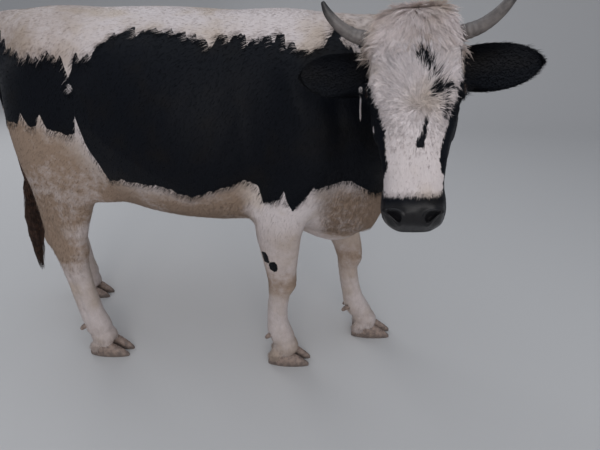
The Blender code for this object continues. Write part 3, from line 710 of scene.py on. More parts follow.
# ------------------------------------------------------------------ the markings
# The hair itself is black or white.  A wide black field lies on each side under a white
# back; the sides of the neck, the cheeks, ears and muzzle are black round a white blaze.
GIRTH_STEP = 0.0052     # metres on the hide for one degree of turn round the trunk

# Where black starts and ends round the trunk: (x, degrees from the top of the spine).
UPPER_EDGE = {
    "right": [(-0.74, 18), (-0.70, 20), (-0.63, 36), (-0.52, 49), (-0.42, 46), (-0.30, 46), (-0.27, 39),
              (-0.23, 34), (-0.19, 29), (-0.08, 30), (0, 31), (0.06, 34), (0.11, 28), (0.20, 27), (0.27, 23),
              (0.33, 33), (0.38, 30), (0.40, 24), (0.42, 19), (0.50, 16), (0.65, 15)],
    "left": [(-0.74, 20), (-0.70, 25), (-0.50, 38), (-0.35, 30), (-0.20, 34), (0, 45), (0.10, 58),
             (0.20, 40), (0.35, 28), (0.50, 20)],
}
LOWER_EDGE = {
    "right": [(-0.80, 88), (-0.625, 88), (-0.50, 90), (-0.42, 95), (-0.37, 93), (-0.345, 104), (-0.318, 113),
              (-0.30, 124), (-0.24, 119), (-0.09, 118), (-0.06, 121), (-0.03, 124), (0, 126), (0.05, 124),
              (0.16, 122), (0.20, 127), (0.215, 137), (0.29, 130), (0.315, 137), (0.37, 128), (0.385, 124),
              (0.43, 128), (0.50, 132), (0.55, 144), (0.60, 156), (0.66, 165)],
    "left": [(-0.80, 92), (-0.75, 95), (-0.60, 100), (-0.45, 88), (-0.30, 112), (-0.10, 125), (0.05, 118),
             (0.15, 105), (0.30, 125), (0.45, 132), (0.60, 150)],
}
# Points of white that run into the black along the lie of the hair: (x, half width, degrees).
UPPER_SPIKES = {
    "right": [(-0.386, 0.018, 13), (-0.165, 0.012, 7), (0.0, 0.010, 4), (0.063, 0.020, 4), (0.115, 0.009, 4),
              (0.170, 0.012, 5), (0.208, 0.008, 5), (0.245, 0.007, 4), (0.287, 0.012, 6)],
    "left": [(-0.42, 0.02, 8), (-0.10, 0.015, 8), (0.27, 0.012, 7)],
}
LOWER_SPIKES = {
    "right": [(-0.574, 0.020, -8), (-0.504, 0.018, -9), (-0.371, 0.016, -13), (0.291, 0.010, -5)],
    "left": [(-0.66, 0.02, -8), (-0.52, 0.02, -9), (-0.02, 0.02, -6)],
}
CREST = np.array([(0.440, 0.1385), (0.490, 0.1085), (0.573, 0.0465), (0.617, -0.0335), (0.635, -0.1115),
                  (0.643, -0.190), (0.647, -0.246)])
CREST_HALF_WIDTH, CREST_FLOOR = 0.058, 1.19
BLAZE_LEFT = [(0.10, -0.111), (0.1415, -0.1085), (0.1485, -0.0995), (0.22, -0.0766), (0.254, -0.065),
              (0.332, -0.062), (0.35, -0.0574), (0.378, -0.068), (0.396, -0.070), (0.412, -0.061)]
BLAZE_RIGHT = [(0.10, 0.096), (0.153, 0.091), (0.258, 0.069), (0.312, 0.0555), (0.345, 0.056),
               (0.374, 0.0655), (0.40, 0.064), (0.412, 0.049)]
BLAZE_END = 0.412
# Small black marks on the blaze, each a rounded stroke: (across, down) at both ends, radius.
FACE_STROKES = [
    (0.018, 0.121, 0.026, 0.143, 0.0075), (0.006, 0.122, 0.010, 0.132, 0.0035),
    (0.032, 0.152, 0.036, 0.166, 0.0055), (0.030, 0.192, 0.040, 0.180, 0.0052),
    (0.034, 0.198, 0.044, 0.188, 0.0034), (0.036, 0.184, 0.054, 0.181, 0.0040),
    (0.052, 0.184, 0.078, 0.170, 0.0042), (0.060, 0.184, 0.056, 0.202, 0.0046),
    (0.056, 0.202, 0.059, 0.234, 0.0044), (0.025, 0.238, 0.018, 0.283, 0.0050),
    (0.016, 0.287, 0.012, 0.299, 0.0090),
]
# Spots: black on the right foreleg as (x, z) at both ends and radius; white behind the right flank
# on the unrolled hide; white under the right eye in the row's frame.
LEG_SPOTS = [((0.200, 0.545), (0.205, 0.517), 0.0125), ((0.232, 0.503), (0.231, 0.489), 0.0165)]
FLANK_SPOT, FLANK_SPOT_RADIUS = ((-0.382, 62 * GIRTH_STEP), (-0.374, 64 * GIRTH_STEP)), 0.006
CHEEK_SPOT, CHEEK_SPOT_RADIUS = ((0.5587, -0.2906, 1.0910), (0.5592, -0.2870, 1.0820)), 0.0045
WHORL = (0.014, 0.209)      # (across, down) of the middle that the forehead's hair springs from


def teeth(x, step, start):
    """A wave of uneven triangles, -1 to 1: the folded remainder of x / step, slowly stretched."""
    return 4 * np.abs((x / step + start + 0.35 * np.sin(x / step * 0.9)) % 1 - 0.5) - 1


def edge_at(x, line, spikes, depth_of_teeth):
    """An edge's height in degrees at x: straight between its points, with uneven teeth all along it,
    plus triangles for the spikes."""
    height = np.interp(x, *np.array(line).T)
    height = height + depth_of_teeth * (1.5 * teeth(x, 0.047, 0.2) + 1.0 * teeth(x, 0.021, 0.6))
    for at, half, depth in spikes:
        height = height + depth * np.maximum(1 - np.abs(x - at) / half, 0)
    return height


def off_stroke(places, start, end):
    """Distance from the straight stroke between two places."""
    start, end = np.asarray(start, float), np.asarray(end, float)
    run = end - start
    share = np.clip((places - start) @ run / max(run @ run, 1e-9), 0, 1)
    return np.linalg.norm(places - start - share[:, None] * run, axis=1)


def off_path(places, path):
    """Distance from a path of straight stretches."""
    return np.min([off_stroke(places, a, b) for a, b in zip(path[:-1], path[1:])], axis=0)


def turn_of(points):
    """Degrees round the trunk from the top of the spine; over the tail it stays well to the side."""
    aside = np.abs(points[:, 1] - SPINE_Y) + 0.12 * ramp(-points[:, 0], 0.70, 0.84)
    return np.degrees(np.arctan2(aside, points[:, 2] - 1.0))


def black_on_body(points):
    """Metres inside the black of trunk, neck and legs, negative on white."""
    x, y, z = points.T
    turn = turn_of(points)
    is_left = y > SPINE_Y
    upper, lower = (
        np.where(is_left, *(edge_at(x, edge[side], spikes[side], toothed) for side in ("left", "right")))
        for edge, spikes, toothed in ((UPPER_EDGE, UPPER_SPIKES, 1.0), (LOWER_EDGE, LOWER_SPIKES, 0.3))
    )
    on_neck = ramp(x, 0.40, 0.50)
    crest = CREST_HALF_WIDTH + 0.009 * ramp(x, 0.46, 0.49)
    neck = np.maximum(off_path(points[:, :2], CREST) - crest, CREST_FLOOR - z)
    under_white = (turn - upper) * GIRTH_STEP * (1 - on_neck) + neck * on_neck
    black = np.minimum(under_white, (lower - turn) * GIRTH_STEP)
    white_spot = off_stroke(np.stack([x, turn * GIRTH_STEP], -1), *FLANK_SPOT) - FLANK_SPOT_RADIUS
    black = np.where(is_left, black, np.minimum(black, white_spot))
    for start, end, radius in LEG_SPOTS:
        spot = np.where(y < 0.02, radius - off_stroke(np.stack([x, z], -1), start, end), -1)
        black = np.maximum(black, spot)
    return black


def black_on_head(local):
    """Metres inside the black of the head and ears, negative on white."""
    a, d, f = local.T
    black = np.maximum(np.interp(d, *np.array(BLAZE_LEFT).T) - a, a - np.interp(d, *np.array(BLAZE_RIGHT).T))
    behind = np.interp(d, [0.05, 0.08, 0.12, 0.16], [-0.090, -0.055, -0.015, 0.0]) - f
    nape = np.where(d < 0.10, np.minimum(behind, np.abs(a) - CREST_HALF_WIDTH), behind)
    hem = BLAZE_END + 0.0035 * teeth(a, 0.023, 0.3) + 0.002 * teeth(a, 0.009, 0.1)
    black = np.maximum(np.maximum(black, nape), d - hem)
    for a0, d0, a1, d1, radius in FACE_STROKES:
        stroke = radius - off_stroke(local[:, :2], (a0, d0), (a1, d1))
        black = np.where(f > -0.03, np.maximum(black, stroke), black)
    black = np.minimum(black, off_stroke(on_head(local), *CHEEK_SPOT) - CHEEK_SPOT_RADIUS)
    return np.maximum(black, np.abs(a) - 0.112)


# A narrow white streak crosses the right ear's lower rim and runs on down the side of the neck.
STREAKS = np.array([
    [(0.5190, -0.2451, 1.1771), (0.5210, -0.2659, 1.1642)],
    [(0.5145, -0.0815, 1.1180), (0.5166, -0.0812, 1.0640)],
])
STREAK_HALF_WIDTH = 0.0042


def off_streaks(places):
    """Distance from the nearer stretch of the white streak."""
    return np.min([off_stroke(places, *stretch) for stretch in STREAKS], axis=0)


def markings(points):
    """For points of the hide: metres inside the black, and shares of dirt and painted shade, bare skin
    and wet skin.  Dirt gathers on the legs, knees and hocks, back, rump and feet; the belly and brisket
    are tan under painted shade; painted shade darkens the back of the thighs, the flank's fold, the
    whorl and the nose."""
    local = in_head(points)
    skull = skull_share(local)
    black = black_on_body(points) * (1 - skull) + black_on_head(local) * skull
    black = np.minimum(black, 3 * (off_streaks(points) - STREAK_HALF_WIDTH))
    x, y, z = points.T
    turn = turn_of(points)
    # Tan hair with painted shade under the belly and on the brisket; painted shade behind the thigh and in
    # the fold of the flank.
    belly = ramp(turn, 104, 140) * ramp(-x, -0.20, -0.12) * ramp(z, 0.60, 0.66)
    thigh_back = ramp(-x, 0.48, 0.64) * ramp(-z, -1.10, -0.96) * ramp(z, 0.34, 0.66)
    knee = ridge(z - 0.41, 0.06) * (x > MID_BODY) + ridge(z - 0.50, 0.07) * (x <= MID_BODY)
    brisket = 0.8 * ramp(x, 0.36, 0.46) * ramp(-z, -0.88, -0.78) * ramp(z, 0.55, 0.60)
    flank = bell(np.stack([x, 0 * y, z], -1), (-0.51, 0, 0.91), (0.13, 1, 0.12))
    dirt_and_shade = 0.95 * belly + 0.80 * thigh_back + 0.34 * ramp(-z, -0.75, -0.60) + 0.46 * knee
    dirt_and_shade += 1.15 * brisket + 1.00 * flank + (0.14 + 0.40 * ramp(-x, 0.28, 0.48)) * ramp(z, 1.14, 1.22)
    dirt_and_shade += 0.14 * ramp(-z, -0.16, -0.06) + 0.22 * ramp(x, 0.30, 0.45) * ramp(z, 1.22, 1.28)
    dirt_and_shade = np.clip(dirt_and_shade, 0, 1) * (1 - skull) + 0.16 * ramp(-local[:, 1], -0.10, -0.04) * skull
    # Painted shade: the hair round the whorl and down the nose is darkened as if shaded.
    on_nose = ramp(local[:, 1], 0.24, 0.30) * skull
    dirt_and_shade += 0.35 * bell(local, (*WHORL, 0.03), (0.016, 0.016, 0.05)) + 0.12 * on_nose
    udder = bell(points - (0, SPINE_Y, 0), (-0.525, 0, 0.70), (0.15, 0.11, 0.10))
    bare = ramp(udder, 0.30, 0.62) * ramp(-z, -0.80, -0.76)
    side, down, out = both_sides(local).T
    pad = ramp(down, 0.424, 0.440) * ramp(out - mouth_line(down), -0.004, 0.004) * ramp(-side, -0.075, -0.060)
    lip = ramp(down, 0.40, 0.43) * ridge(out - mouth_line(down), 0.006)
    wet = np.maximum(pad, 0.7 * lip) * skull
    rim = ramp(-lid_share(local), -1.5, -1.2) * skull
    black = np.where(rim > 0.3, np.maximum(black, 0.01), black)
    return black, dirt_and_shade, bare, np.maximum(wet, 0.6 * rim)


def set_values(mesh, name, values):
    """A float for every point of a mesh."""
    made = mesh.attributes.new(name, "FLOAT", "POINT")
    made.data.foreach_set("value", np.ascontiguousarray(values, np.float32))


# The skin is thinned where it is plain; the head and the edges of the markings keep their grain.
SKIN_TRIANGLES = 186000
on_or_near_head = np.linalg.norm(in_head(points) - (0, 0.22, -0.03), axis=1) < 0.33
weigh(skin, "plain", ~(on_or_near_head | (np.abs(markings(points)[0]) < 0.018)))
thin = skin.modifiers.new("thin", "DECIMATE")
thin.ratio = SKIN_TRIANGLES / len(triangles)
thin.vertex_group = "plain"
thin.vertex_group_factor = 2.0
thin.use_collapse_triangulate = True
settle(skin)
skin.vertex_groups.clear()
skin.data.shade_smooth()
points, triangles = positions(skin.data), triangles_of(skin.data)
normal = normals_of(points, triangles)
local = in_head(points)
for name, values in zip(("black", "dirt_and_shade", "bare", "wet"), markings(points)):
    set_values(skin.data, name, values)
skull = skull_share(local)
set_values(skin.data, "leg", ramp(-points[:, 2], -0.84, -0.68))
set_values(skin.data, "head", skull)
inside_ear = ramp(np.abs(local[:, 0]), 0.115, 0.135) * ramp(normal @ HEAD_AXES[2], 0.1, 0.5) * skull
inside_ear *= ramp(-local[:, 1], -0.22, -0.20) * ramp(local[:, 2], -0.15, -0.12)
set_values(skin.data, "inner", inside_ear)


def group_of(name, inputs, outputs):
    """A shader node group with these sockets: (name, kind, value) in, (name, kind) out."""
    group = bpy.data.node_groups.new(name, "ShaderNodeTree")
    for label, kind, value in inputs:
        socket = group.interface.new_socket(label, in_out="INPUT", socket_type="NodeSocket" + kind)
        if value is not None:
            socket.default_value = value
    for label, kind in outputs:
        group.interface.new_socket(label, in_out="OUTPUT", socket_type="NodeSocket" + kind)
    start = group.nodes.new("NodeGroupInput")
    end = group.nodes.new("NodeGroupOutput")
    return group, start, end


def add_node(tree, kind, **settings):
    """A node of the tree.  Settings are its properties, or with a leading in_ its input values."""
    made = tree.nodes.new("ShaderNode" + kind)
    for key, value in settings.items():
        if key.startswith("in_"):
            made.inputs[key[3:].replace("_", " ")].default_value = value
        else:
            setattr(made, key, value)
    return made


def maths(tree, operation, first, second=None, third=None, clamp=False):
    """A Math node; each operand is a socket or a number.  Gives its output socket."""
    made = tree.nodes.new("ShaderNodeMath")
    made.operation = operation
    made.use_clamp = clamp
    for k, operand in enumerate((first, second, third)):
        if operand is None:
            continue
        if isinstance(operand, (int, float)):
            made.inputs[k].default_value = operand
        else:
            tree.links.new(operand, made.inputs[k])
    return made.outputs[0]


def mixed(tree, share, first, second, kind="RGBA"):
    """A Mix node of two colours, vectors or floats; share and operands are sockets or values."""
    made = tree.nodes.new("ShaderNodeMix")
    made.data_type = kind
    slots = {"FLOAT": (0, 2, 3, 0), "VECTOR": (0, 4, 5, 1), "RGBA": (0, 6, 7, 2)}[kind]
    for slot, operand in zip(slots, (share, first, second)):
        if isinstance(operand, bpy.types.NodeSocket):
            tree.links.new(operand, made.inputs[slot])
        else:
            made.inputs[slot].default_value = operand
    return made.outputs[slots[3]]


def noise(tree, vector, scale, detail=3.0, roughness=0.55):
    """A Noise texture's value."""
    made = add_node(tree, "TexNoise", in_Scale=scale, in_Detail=detail, in_Roughness=roughness)
    tree.links.new(vector, made.inputs["Vector"])
    return made.outputs["Fac"]


def stepped(tree, value, low, high, out_low=0.0, out_high=1.0):
    """A smooth Map Range from low..high."""
    made = add_node(tree, "MapRange", interpolation_type="SMOOTHSTEP")
    for k, number in enumerate((low, high, out_low, out_high)):
        made.inputs[k + 1].default_value = number
    tree.links.new(value, made.inputs[0])
    return made.outputs[0]


# Strands: fine and broad streaks of hair along the first axis of the coordinates handed in.
strands, strands_in, strands_out = group_of(
    "strands",
    [("Vector", "Vector", None)],
    [("Height", "Float"), ("Tint", "Float")],
)
fine_streaks = noise(strands, strands_in.outputs["Vector"], 1.0, 2.0, 0.6)
broad_map = add_node(strands, "Mapping")
broad_map.inputs["Scale"].default_value = (0.45, 0.17, 0.17)
strands.links.new(strands_in.outputs["Vector"], broad_map.inputs["Vector"])
broad_streaks = noise(strands, broad_map.outputs["Vector"], 1.0, 3.0, 0.6)
height = maths(strands, "MULTIPLY_ADD", broad_streaks, 0.6, fine_streaks)
strands.links.new(height, strands_out.inputs["Height"])
both_streaks = maths(strands, "ADD", fine_streaks, broad_streaks)
strands.links.new(maths(strands, "MULTIPLY_ADD", both_streaks, 0.6, -0.6), strands_out.inputs["Tint"])

# Coat colours: white hair, creamy in places and darkened by dirt and painted shade, or black hair, with
# ragged edges between.
WHITE_HAIR, CREAM_HAIR = (0.640, 0.575, 0.570, 1), (0.560, 0.475, 0.415, 1)
# The soiled colour serves for dirt and for painted shade alike.
SOIL_AND_SHADE_HAIR, DARK_SOIL = (0.285, 0.205, 0.152, 1), (0.120, 0.090, 0.072, 1)
# The blue cast of the black hair is a painted reflection of the sky.
SKY_SHEEN_BLACK_HAIR, BROWNED_HAIR = (0.0028, 0.0036, 0.0062, 1), (0.0056, 0.0050, 0.0054, 1)
coat_colours, colours_in, colours_out = group_of(
    "coat_colours",
    [("Vector", "Vector", None), ("Black", "Float", 0.0), ("Dirt", "Float", 0.0),
     ("Tint", "Float", 0.0), ("Ragged", "Float", 0.01)],
    [("Color", "Color"), ("Black", "Float")],
)
where = colours_in.outputs["Vector"]
patches = noise(coat_colours, where, 7.0, 3.0)
specks = noise(coat_colours, where, 42.0, 4.0, 0.65)
ragged = noise(coat_colours, where, 95.0, 3.0, 0.7)
shifted = maths(
    coat_colours, "MULTIPLY_ADD", maths(coat_colours, "SUBTRACT", ragged, 0.5),
    colours_in.outputs["Ragged"], colours_in.outputs["Black"],
)
is_black = stepped(coat_colours, shifted, -0.0012, 0.0012)
white = mixed(coat_colours, stepped(coat_colours, patches, 0.42, 0.72), WHITE_HAIR, CREAM_HAIR)
# Dirt and painted shade turn the white towards the soiled colour.
soil_and_shade = maths(
    coat_colours, "MULTIPLY",
    colours_in.outputs["Dirt"],
    stepped(coat_colours, maths(coat_colours, "ADD", specks, patches), 0.55, 1.25, 0.55, 1.25), clamp=True,
)
white = mixed(coat_colours, soil_and_shade, white, SOIL_AND_SHADE_HAIR)
deep = maths(
    coat_colours, "MULTIPLY", stepped(coat_colours, specks, 0.56, 0.78, 0.0, 0.5),
    maths(coat_colours, "MULTIPLY", colours_in.outputs["Dirt"], colours_in.outputs["Dirt"]), clamp=True,
)
white = mixed(coat_colours, deep, white, DARK_SOIL)
black = mixed(coat_colours, stepped(coat_colours, patches, 0.45, 0.75), SKY_SHEEN_BLACK_HAIR, BROWNED_HAIR)
# The tint lightens or darkens the colour: random tone and grain, and on the tufts painted shade at the root
# and painted light at the tip.
lit = maths(coat_colours, "MULTIPLY_ADD", colours_in.outputs["Tint"], 0.42, 1.0)
shade = coat_colours.nodes.new("ShaderNodeVectorMath")
shade.operation = "SCALE"
coat_colours.links.new(mixed(coat_colours, is_black, white, black), shade.inputs[0])
coat_colours.links.new(lit, shade.inputs["Scale"])
coat_colours.links.new(shade.outputs[0], colours_out.inputs["Color"])
coat_colours.links.new(is_black, colours_out.inputs["Black"])


def attribute(tree, name):
    """The output socket of a float attribute."""
    return add_node(tree, "Attribute", attribute_name=name).outputs["Fac"]


def placed(tree, group, **inputs):
    """A group node, its inputs linked or set."""
    made = tree.nodes.new("ShaderNodeGroup")
    made.node_tree = group
    for key, value in inputs.items():
        if isinstance(value, bpy.types.NodeSocket):
            tree.links.new(value, made.inputs[key])
        else:
            made.inputs[key].default_value = value
    return made.outputs


# The hide: hair grain in bump under the tufts, and bare skin at udder, nose, lips and lids.
STRAND_ACROSS, STRAND_ALONG = 620.0, 75.0
PINK_SKIN, FLUSHED_SKIN = (0.480, 0.270, 0.215, 1), (0.330, 0.170, 0.140, 1)
DARK_SKIN, INNER_EAR = (0.0060, 0.0054, 0.0066, 1), (0.055, 0.040, 0.036, 1)
hide, tree, shader = finish_of("hide")
spot = add_node(tree, "TexCoord").outputs["Object"]


def strand_map(tree, spot, run):
    """Coordinates whose first axis lies along the run of the hair, where it all runs one way."""
    made = add_node(tree, "Mapping", vector_type="TEXTURE")
    made.inputs["Rotation"].default_value = Vector(run).to_track_quat("X", "Z").to_euler()
    made.inputs["Scale"].default_value = (1 / STRAND_ALONG, 1 / STRAND_ACROSS, 1 / STRAND_ACROSS)
    tree.links.new(spot, made.inputs["Vector"])
    return made.outputs["Vector"]


def soft_sheen(shader):
    """Hair throws back little light, and that softly."""
    for socket, value in (
        ("Specular IOR Level", 0.10), ("Sheen Weight", 0.02), ("Sheen Roughness", 0.45),
        ("Sheen Tint", (0.75, 0.80, 0.90, 1)),
    ):
        shader.inputs[socket].default_value = value


on_trunk, on_legs, on_face = (
    strand_map(tree, spot, run) for run in ((-0.75, 0, -0.66), (0.05, 0.0, -1.0), HEAD_AXES[1])
)
along = mixed(tree, attribute(tree, "leg"), on_trunk, on_legs, "VECTOR")
along = mixed(tree, attribute(tree, "head"), along, on_face, "VECTOR")
grain = placed(tree, strands, Vector=along)
coat = placed(
    tree, coat_colours, Vector=spot, Black=attribute(tree, "black"), Dirt=attribute(tree, "dirt_and_shade"),
    Tint=grain["Tint"], Ragged=0.016,
)
bare, wet, inner = (attribute(tree, name) for name in ("bare", "wet", "inner"))
mottle = noise(tree, spot, 30.0, 4.0, 0.6)
pink = mixed(tree, stepped(tree, mottle, 0.40, 0.70), PINK_SKIN, FLUSHED_SKIN)
colour = mixed(tree, maths(tree, "MULTIPLY", bare, 0.85), coat["Color"], pink)
colour = mixed(tree, maths(tree, "MULTIPLY", inner, 0.7), colour, INNER_EAR)
colour = mixed(tree, wet, colour, DARK_SKIN)
tree.links.new(colour, shader.inputs["Base Color"])
rough = mixed(tree, coat["Black"], 0.72, 0.50, "FLOAT")
rough = mixed(tree, bare, rough, 0.50, "FLOAT")
tree.links.new(mixed(tree, wet, rough, 0.27, "FLOAT"), shader.inputs["Roughness"])
tree.links.new(maths(tree, "MULTIPLY", wet, 0.40), shader.inputs["Coat Weight"])
shader.inputs["Coat Roughness"].default_value = 0.27
soft_sheen(shader)

# The nose's skin is a net of small plates; the udder's is finely creased.
plates = add_node(tree, "TexVoronoi", feature="DISTANCE_TO_EDGE", in_Scale=330.0)
tree.links.new(spot, plates.inputs["Vector"])
plate_height = maths(tree, "MULTIPLY", stepped(tree, plates.outputs["Distance"], 0.0, 0.22), 1.5)
creases = maths(tree, "MULTIPLY", noise(tree, spot, 240.0, 3.0), 0.7)
height = mixed(tree, bare, grain["Height"], creases, "FLOAT")
height = mixed(tree, wet, height, plate_height, "FLOAT")
bump = add_node(tree, "Bump", in_Strength=0.75, in_Distance=0.0007)
tree.links.new(height, bump.inputs["Height"])
tree.links.new(bump.outputs["Normal"], shader.inputs["Normal"])
skin.data.materials.clear()     # the ears' joining leaves an empty slot
skin.data.materials.append(hide)
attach(skin, "root")
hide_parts(*FLESH, "ear_right", "ear_left")


# ------------------------------------------------------------------ the short coat
# Flat winter hair over the whole hide, 10 to 25 mm long, that runs back and down from the
# withers.  Each tuft is a thin closed spike rooted in the skin, and lies on the next one.
SKIN_CENTRES = points[triangles].mean(1)
first, second, third = (points[triangles[:, k]] for k in range(3))
SKIN_FACING = np.cross(second - first, third - first)
SKIN_AREAS = 0.5 * np.linalg.norm(SKIN_FACING, axis=1)
CELL = 0.04
cells = np.floor(SKIN_CENTRES / CELL).astype(int)
NEIGHBOUR_ORDER = np.lexsort((cells[:, 2], cells[:, 1], cells[:, 0]))


def scatter(weights, count, rng):
    """Roots spread evenly over the skin: one for each equal step of the running sum of
    weight times area, taken through the triangles cell by cell; gives places and normals."""
    total = np.cumsum((weights * SKIN_AREAS)[NEIGHBOUR_ORDER])
    steps = (np.arange(count) + rng.random(count)) / count * total[-1]
    chosen = triangles[NEIGHBOUR_ORDER[np.minimum(np.searchsorted(total, steps), len(total) - 1)]]
    a, b = rng.random(count), rng.random(count)
    folded = a + b > 1
    a, b = np.where(folded, 1 - a, a), np.where(folded, 1 - b, b)
    shares = np.stack([1 - a - b, a, b], -1)[:, :, None]
    roots = (points[chosen] * shares).sum(1)
    aim = (normal[chosen] * shares).sum(1)
    return roots, aim / np.linalg.norm(aim, axis=1, keepdims=True)


def unit(vectors):
    """Vectors of length one."""
    return vectors / np.maximum(np.linalg.norm(vectors, axis=-1, keepdims=True), 1e-9)


def laid(runs, aims):
    """Runs laid into the skin's surface, of length one."""
    return unit(runs - aims * (runs * aims).sum(1)[:, None])


def lie_of_coat(places, normals, rng, spread=0.10):
    """The way the hair runs: back along the trunk and down its sides, down the legs, from the head to
    the withers on the neck, round a whorl on the forehead, out along the ears.  The run is laid into
    the skin's surface and turned about its normal by slow waves and a little chance."""
    x, y, z = places.T
    ones = np.ones(len(places))
    out = np.abs(y - SPINE_Y)
    side = np.sign(y - SPINE_Y)
    run = np.stack([-ones, 0.35 * side * ramp(-out, -0.14, 0.0), -0.25 - 1.15 * ramp(out, 0.05, 0.24)], -1)
    low = ramp(-z, -0.86, -0.66)[:, None]
    run = run * (1 - low) + np.array([-0.15, 0, -1.0]) * low
    rear = (ramp(-x, 0.52, 0.74) * ramp(-z, -1.20, -1.00))[:, None]
    run = run * (1 - rear) + np.array([-0.35, 0, -1.0]) * rear
    belly = ramp(-normals[:, 2], 0.55, 0.85) * ramp(z, 0.55, 0.62) * ramp(-np.abs(x + 0.1), -0.36, -0.30)
    run = run * (1 - belly[:, None]) + np.array([-0.7, 0, -0.6]) * belly[:, None]
    heading = np.radians(np.interp(y, [-0.22, -0.15, -0.07, 0.01, 0.08, 0.16], [94, 96, 103, 119, 143, 180]))
    fall = -0.35 - 0.9 * ramp(-z, -1.12, -0.88)
    along_neck = np.stack([np.cos(heading), np.sin(heading), fall], -1)
    on_neck = (ramp(x, 0.38, 0.50) * ramp(z, 0.70, 0.80))[:, None]
    run = run * (1 - on_neck) + along_neck * on_neck
    local = in_head(places)
    a, d, f = local.T
    away = np.stack([a - WHORL[0], d - WHORL[1], 0 * a], -1)
    swirl = 1.1 * np.exp(-(np.linalg.norm(away, axis=1) / 0.022) ** 2)[:, None]
    away = away * np.cos(swirl) + away[:, [1, 0, 2]] * (-1, 1, 0) * np.sin(swirl)
    face = unit(away) + np.array([0, 0.25, 0]) * ramp(d, 0.16, 0.26)[:, None]
    face = face + np.array([0, 1.2, 0]) * ramp(d, 0.26, 0.32)[:, None]
    cheek = np.stack([0 * a, 0.75 * ones, -0.65 * ones], -1)
    on_front = ramp(f, -0.035, 0.015)[:, None]
    face = face * on_front + cheek * (1 - on_front)
    ear = np.stack([np.sign(a), 0.10 * ones, 0 * a], -1)
    on_ear = (ramp(np.abs(a), 0.100, 0.118) * ramp(f, -0.14, -0.11))[:, None]
    face = face * (1 - on_ear) + ear * on_ear
    skull = skull_share(local)[:, None]
    run = run * (1 - skull) + (face @ HEAD_AXES) * skull
    run = laid(run, normals)
    waves = np.sin(23 * x + 9 * z) + np.sin(17 * z - 11 * y + 2) + 0.6 * np.sin(61 * x - 47 * z + 29 * y)
    turn = 0.06 * waves + rng.normal(0, spread, len(places))
    return run * np.cos(turn)[:, None] + np.cross(normals, run) * np.sin(turn)[:, None]


def spikes(line, guide, half, flat):
    """Closed three-sided spikes round the middle lines (n, k, 3): a ring at each place but the last, which
    is the tip.  The flat side faces along the guide.  Gives points (n, m, 3), triangles, and for each
    point its share of the length and its place across."""
    count, rings = line.shape[0], line.shape[1] - 1
    ahead = unit(np.gradient(line, axis=1))
    across = unit(np.cross(ahead, guide + 0 * ahead))
    above = np.cross(across, ahead)
    turn = np.array([0.5, 1 + 1 / 6, 1 + 5 / 6]) * pi
    rim = (
        line[:, :-1, None]
        + (across * half)[:, :-1, None] * np.cos(turn)[:, None]
        + (above * half * flat)[:, :-1, None] * np.sin(turn)[:, None]
    )
    made = np.concatenate([rim.reshape(count, rings * 3, 3), line[:, -1:]], 1)
    ring = np.arange(rings - 1)[:, None] * 3
    k = np.arange(3)
    k2 = (k + 1) % 3
    here, there = ring + k, ring + k2
    tip, last = rings * 3, (rings - 1) * 3
    faces = np.vstack([
        [[0, 1, 2]],
        np.stack([here, here + 3, there + 3], -1).reshape(-1, 3),
        np.stack([here, there + 3, there], -1).reshape(-1, 3),
        np.stack([last + k, np.full(3, tip), last + k2], -1),
    ])
    along = np.append(np.repeat(np.linspace(0, 1, rings + 1)[:-1], 3), 1.0)
    return made, faces, along, np.append(np.tile(np.cos(turn), rings), 0.0)


TUFT_FLATNESS = 0.28


def hair(roots, normals, runs, length, width, rings, lift, rng, sway=0.0, waves=1.0, sag=0.0, phase=None):
    """Spikes from roots in the skin.  The middle line is root + run * length * t + normal * length * lift *
    (t - 0.55 t^2), with a sideways wave length * sway * t * sin(2 pi waves t + phase) and a fall of
    length * sag * t^2.  The half width is width * (1 - t)^0.7."""
    count = len(roots)
    length, width, lift, sway, waves, sag = (
        np.broadcast_to(np.asarray(v, float), count)[:, None, None]
        for v in (length, width, lift, sway, waves, sag)
    )
    phase = (rng.random(count) * 2 * pi if phase is None else phase)[:, None, None]
    step = np.linspace(0, 1, rings + 1)[None, :, None]
    aside = np.cross(runs, normals)[:, None]
    rise = normals[:, None] * length * lift * (step - 0.55 * step**2)
    line = roots[:, None] + runs[:, None] * length * step + rise
    line = line + aside * length * sway * step * np.sin(2 * pi * waves * step + phase)
    line = line - np.array([0, 0, 1.0]) * length * sag * step**2 - normals[:, None] * 0.0012 * (1 - step) ** 4
    half = width * np.minimum(0.65 + 2.5 * step, 1) * (1 - step) ** 0.7
    return spikes(line, normals[:, None], half, TUFT_FLATNESS)


PATCH = 0.003


def bake_patch(places, along, beside):
    """Each tuft's patch on the bake map, PATCH across, about its root's place."""
    return np.stack([
        places[:, :1] + 0.45 * PATCH * beside[None],
        places[:, 1:] + 0.9 * PATCH * (along - 0.5)[None],
    ], -1)


def lifted(count, rng):
    """Most tufts lie close, and a few stand out: 0.07 plus a quarter of a cubed chance."""
    return 0.07 + 0.26 * rng.random(count) ** 3


def coloured(made, roots, places, tone, painted_root_shade=0.5, black=None, dirt_and_shade=None):
    """A batch of hair with its colours: each tuft has those of the hide at its root, unless they are
    given, and a tone of its own, with painted shade towards the root and painted light towards the tip."""
    tufts, faces, along, beside = made
    hide_black, hide_dirt_and_shade = markings(roots)[:2]
    black = hide_black if black is None else np.full(len(roots), black)
    dirt_and_shade = hide_dirt_and_shade if dirt_and_shade is None else np.full(len(roots), dirt_and_shade)
    # Painted shade at the root, painted light at the tip.
    tint = tone[:, None] + painted_root_shade * (along - 0.55)[None]
    traits = [np.broadcast_to(v, tufts.shape[:2]) for v in (black[:, None], dirt_and_shade[:, None], tint)]
    return tufts, faces, traits, bake_patch(places, along, beside)


def flat_tufts(roots, aims, runs, length, width, places, uneven, rng):
    """A batch of short tufts that lie close, of uneven tone."""
    made = hair(roots, aims, runs, length, width, 2, lifted(len(roots), rng), rng)
    return coloured(made, roots, places, rng.normal(0, uneven, len(roots)))


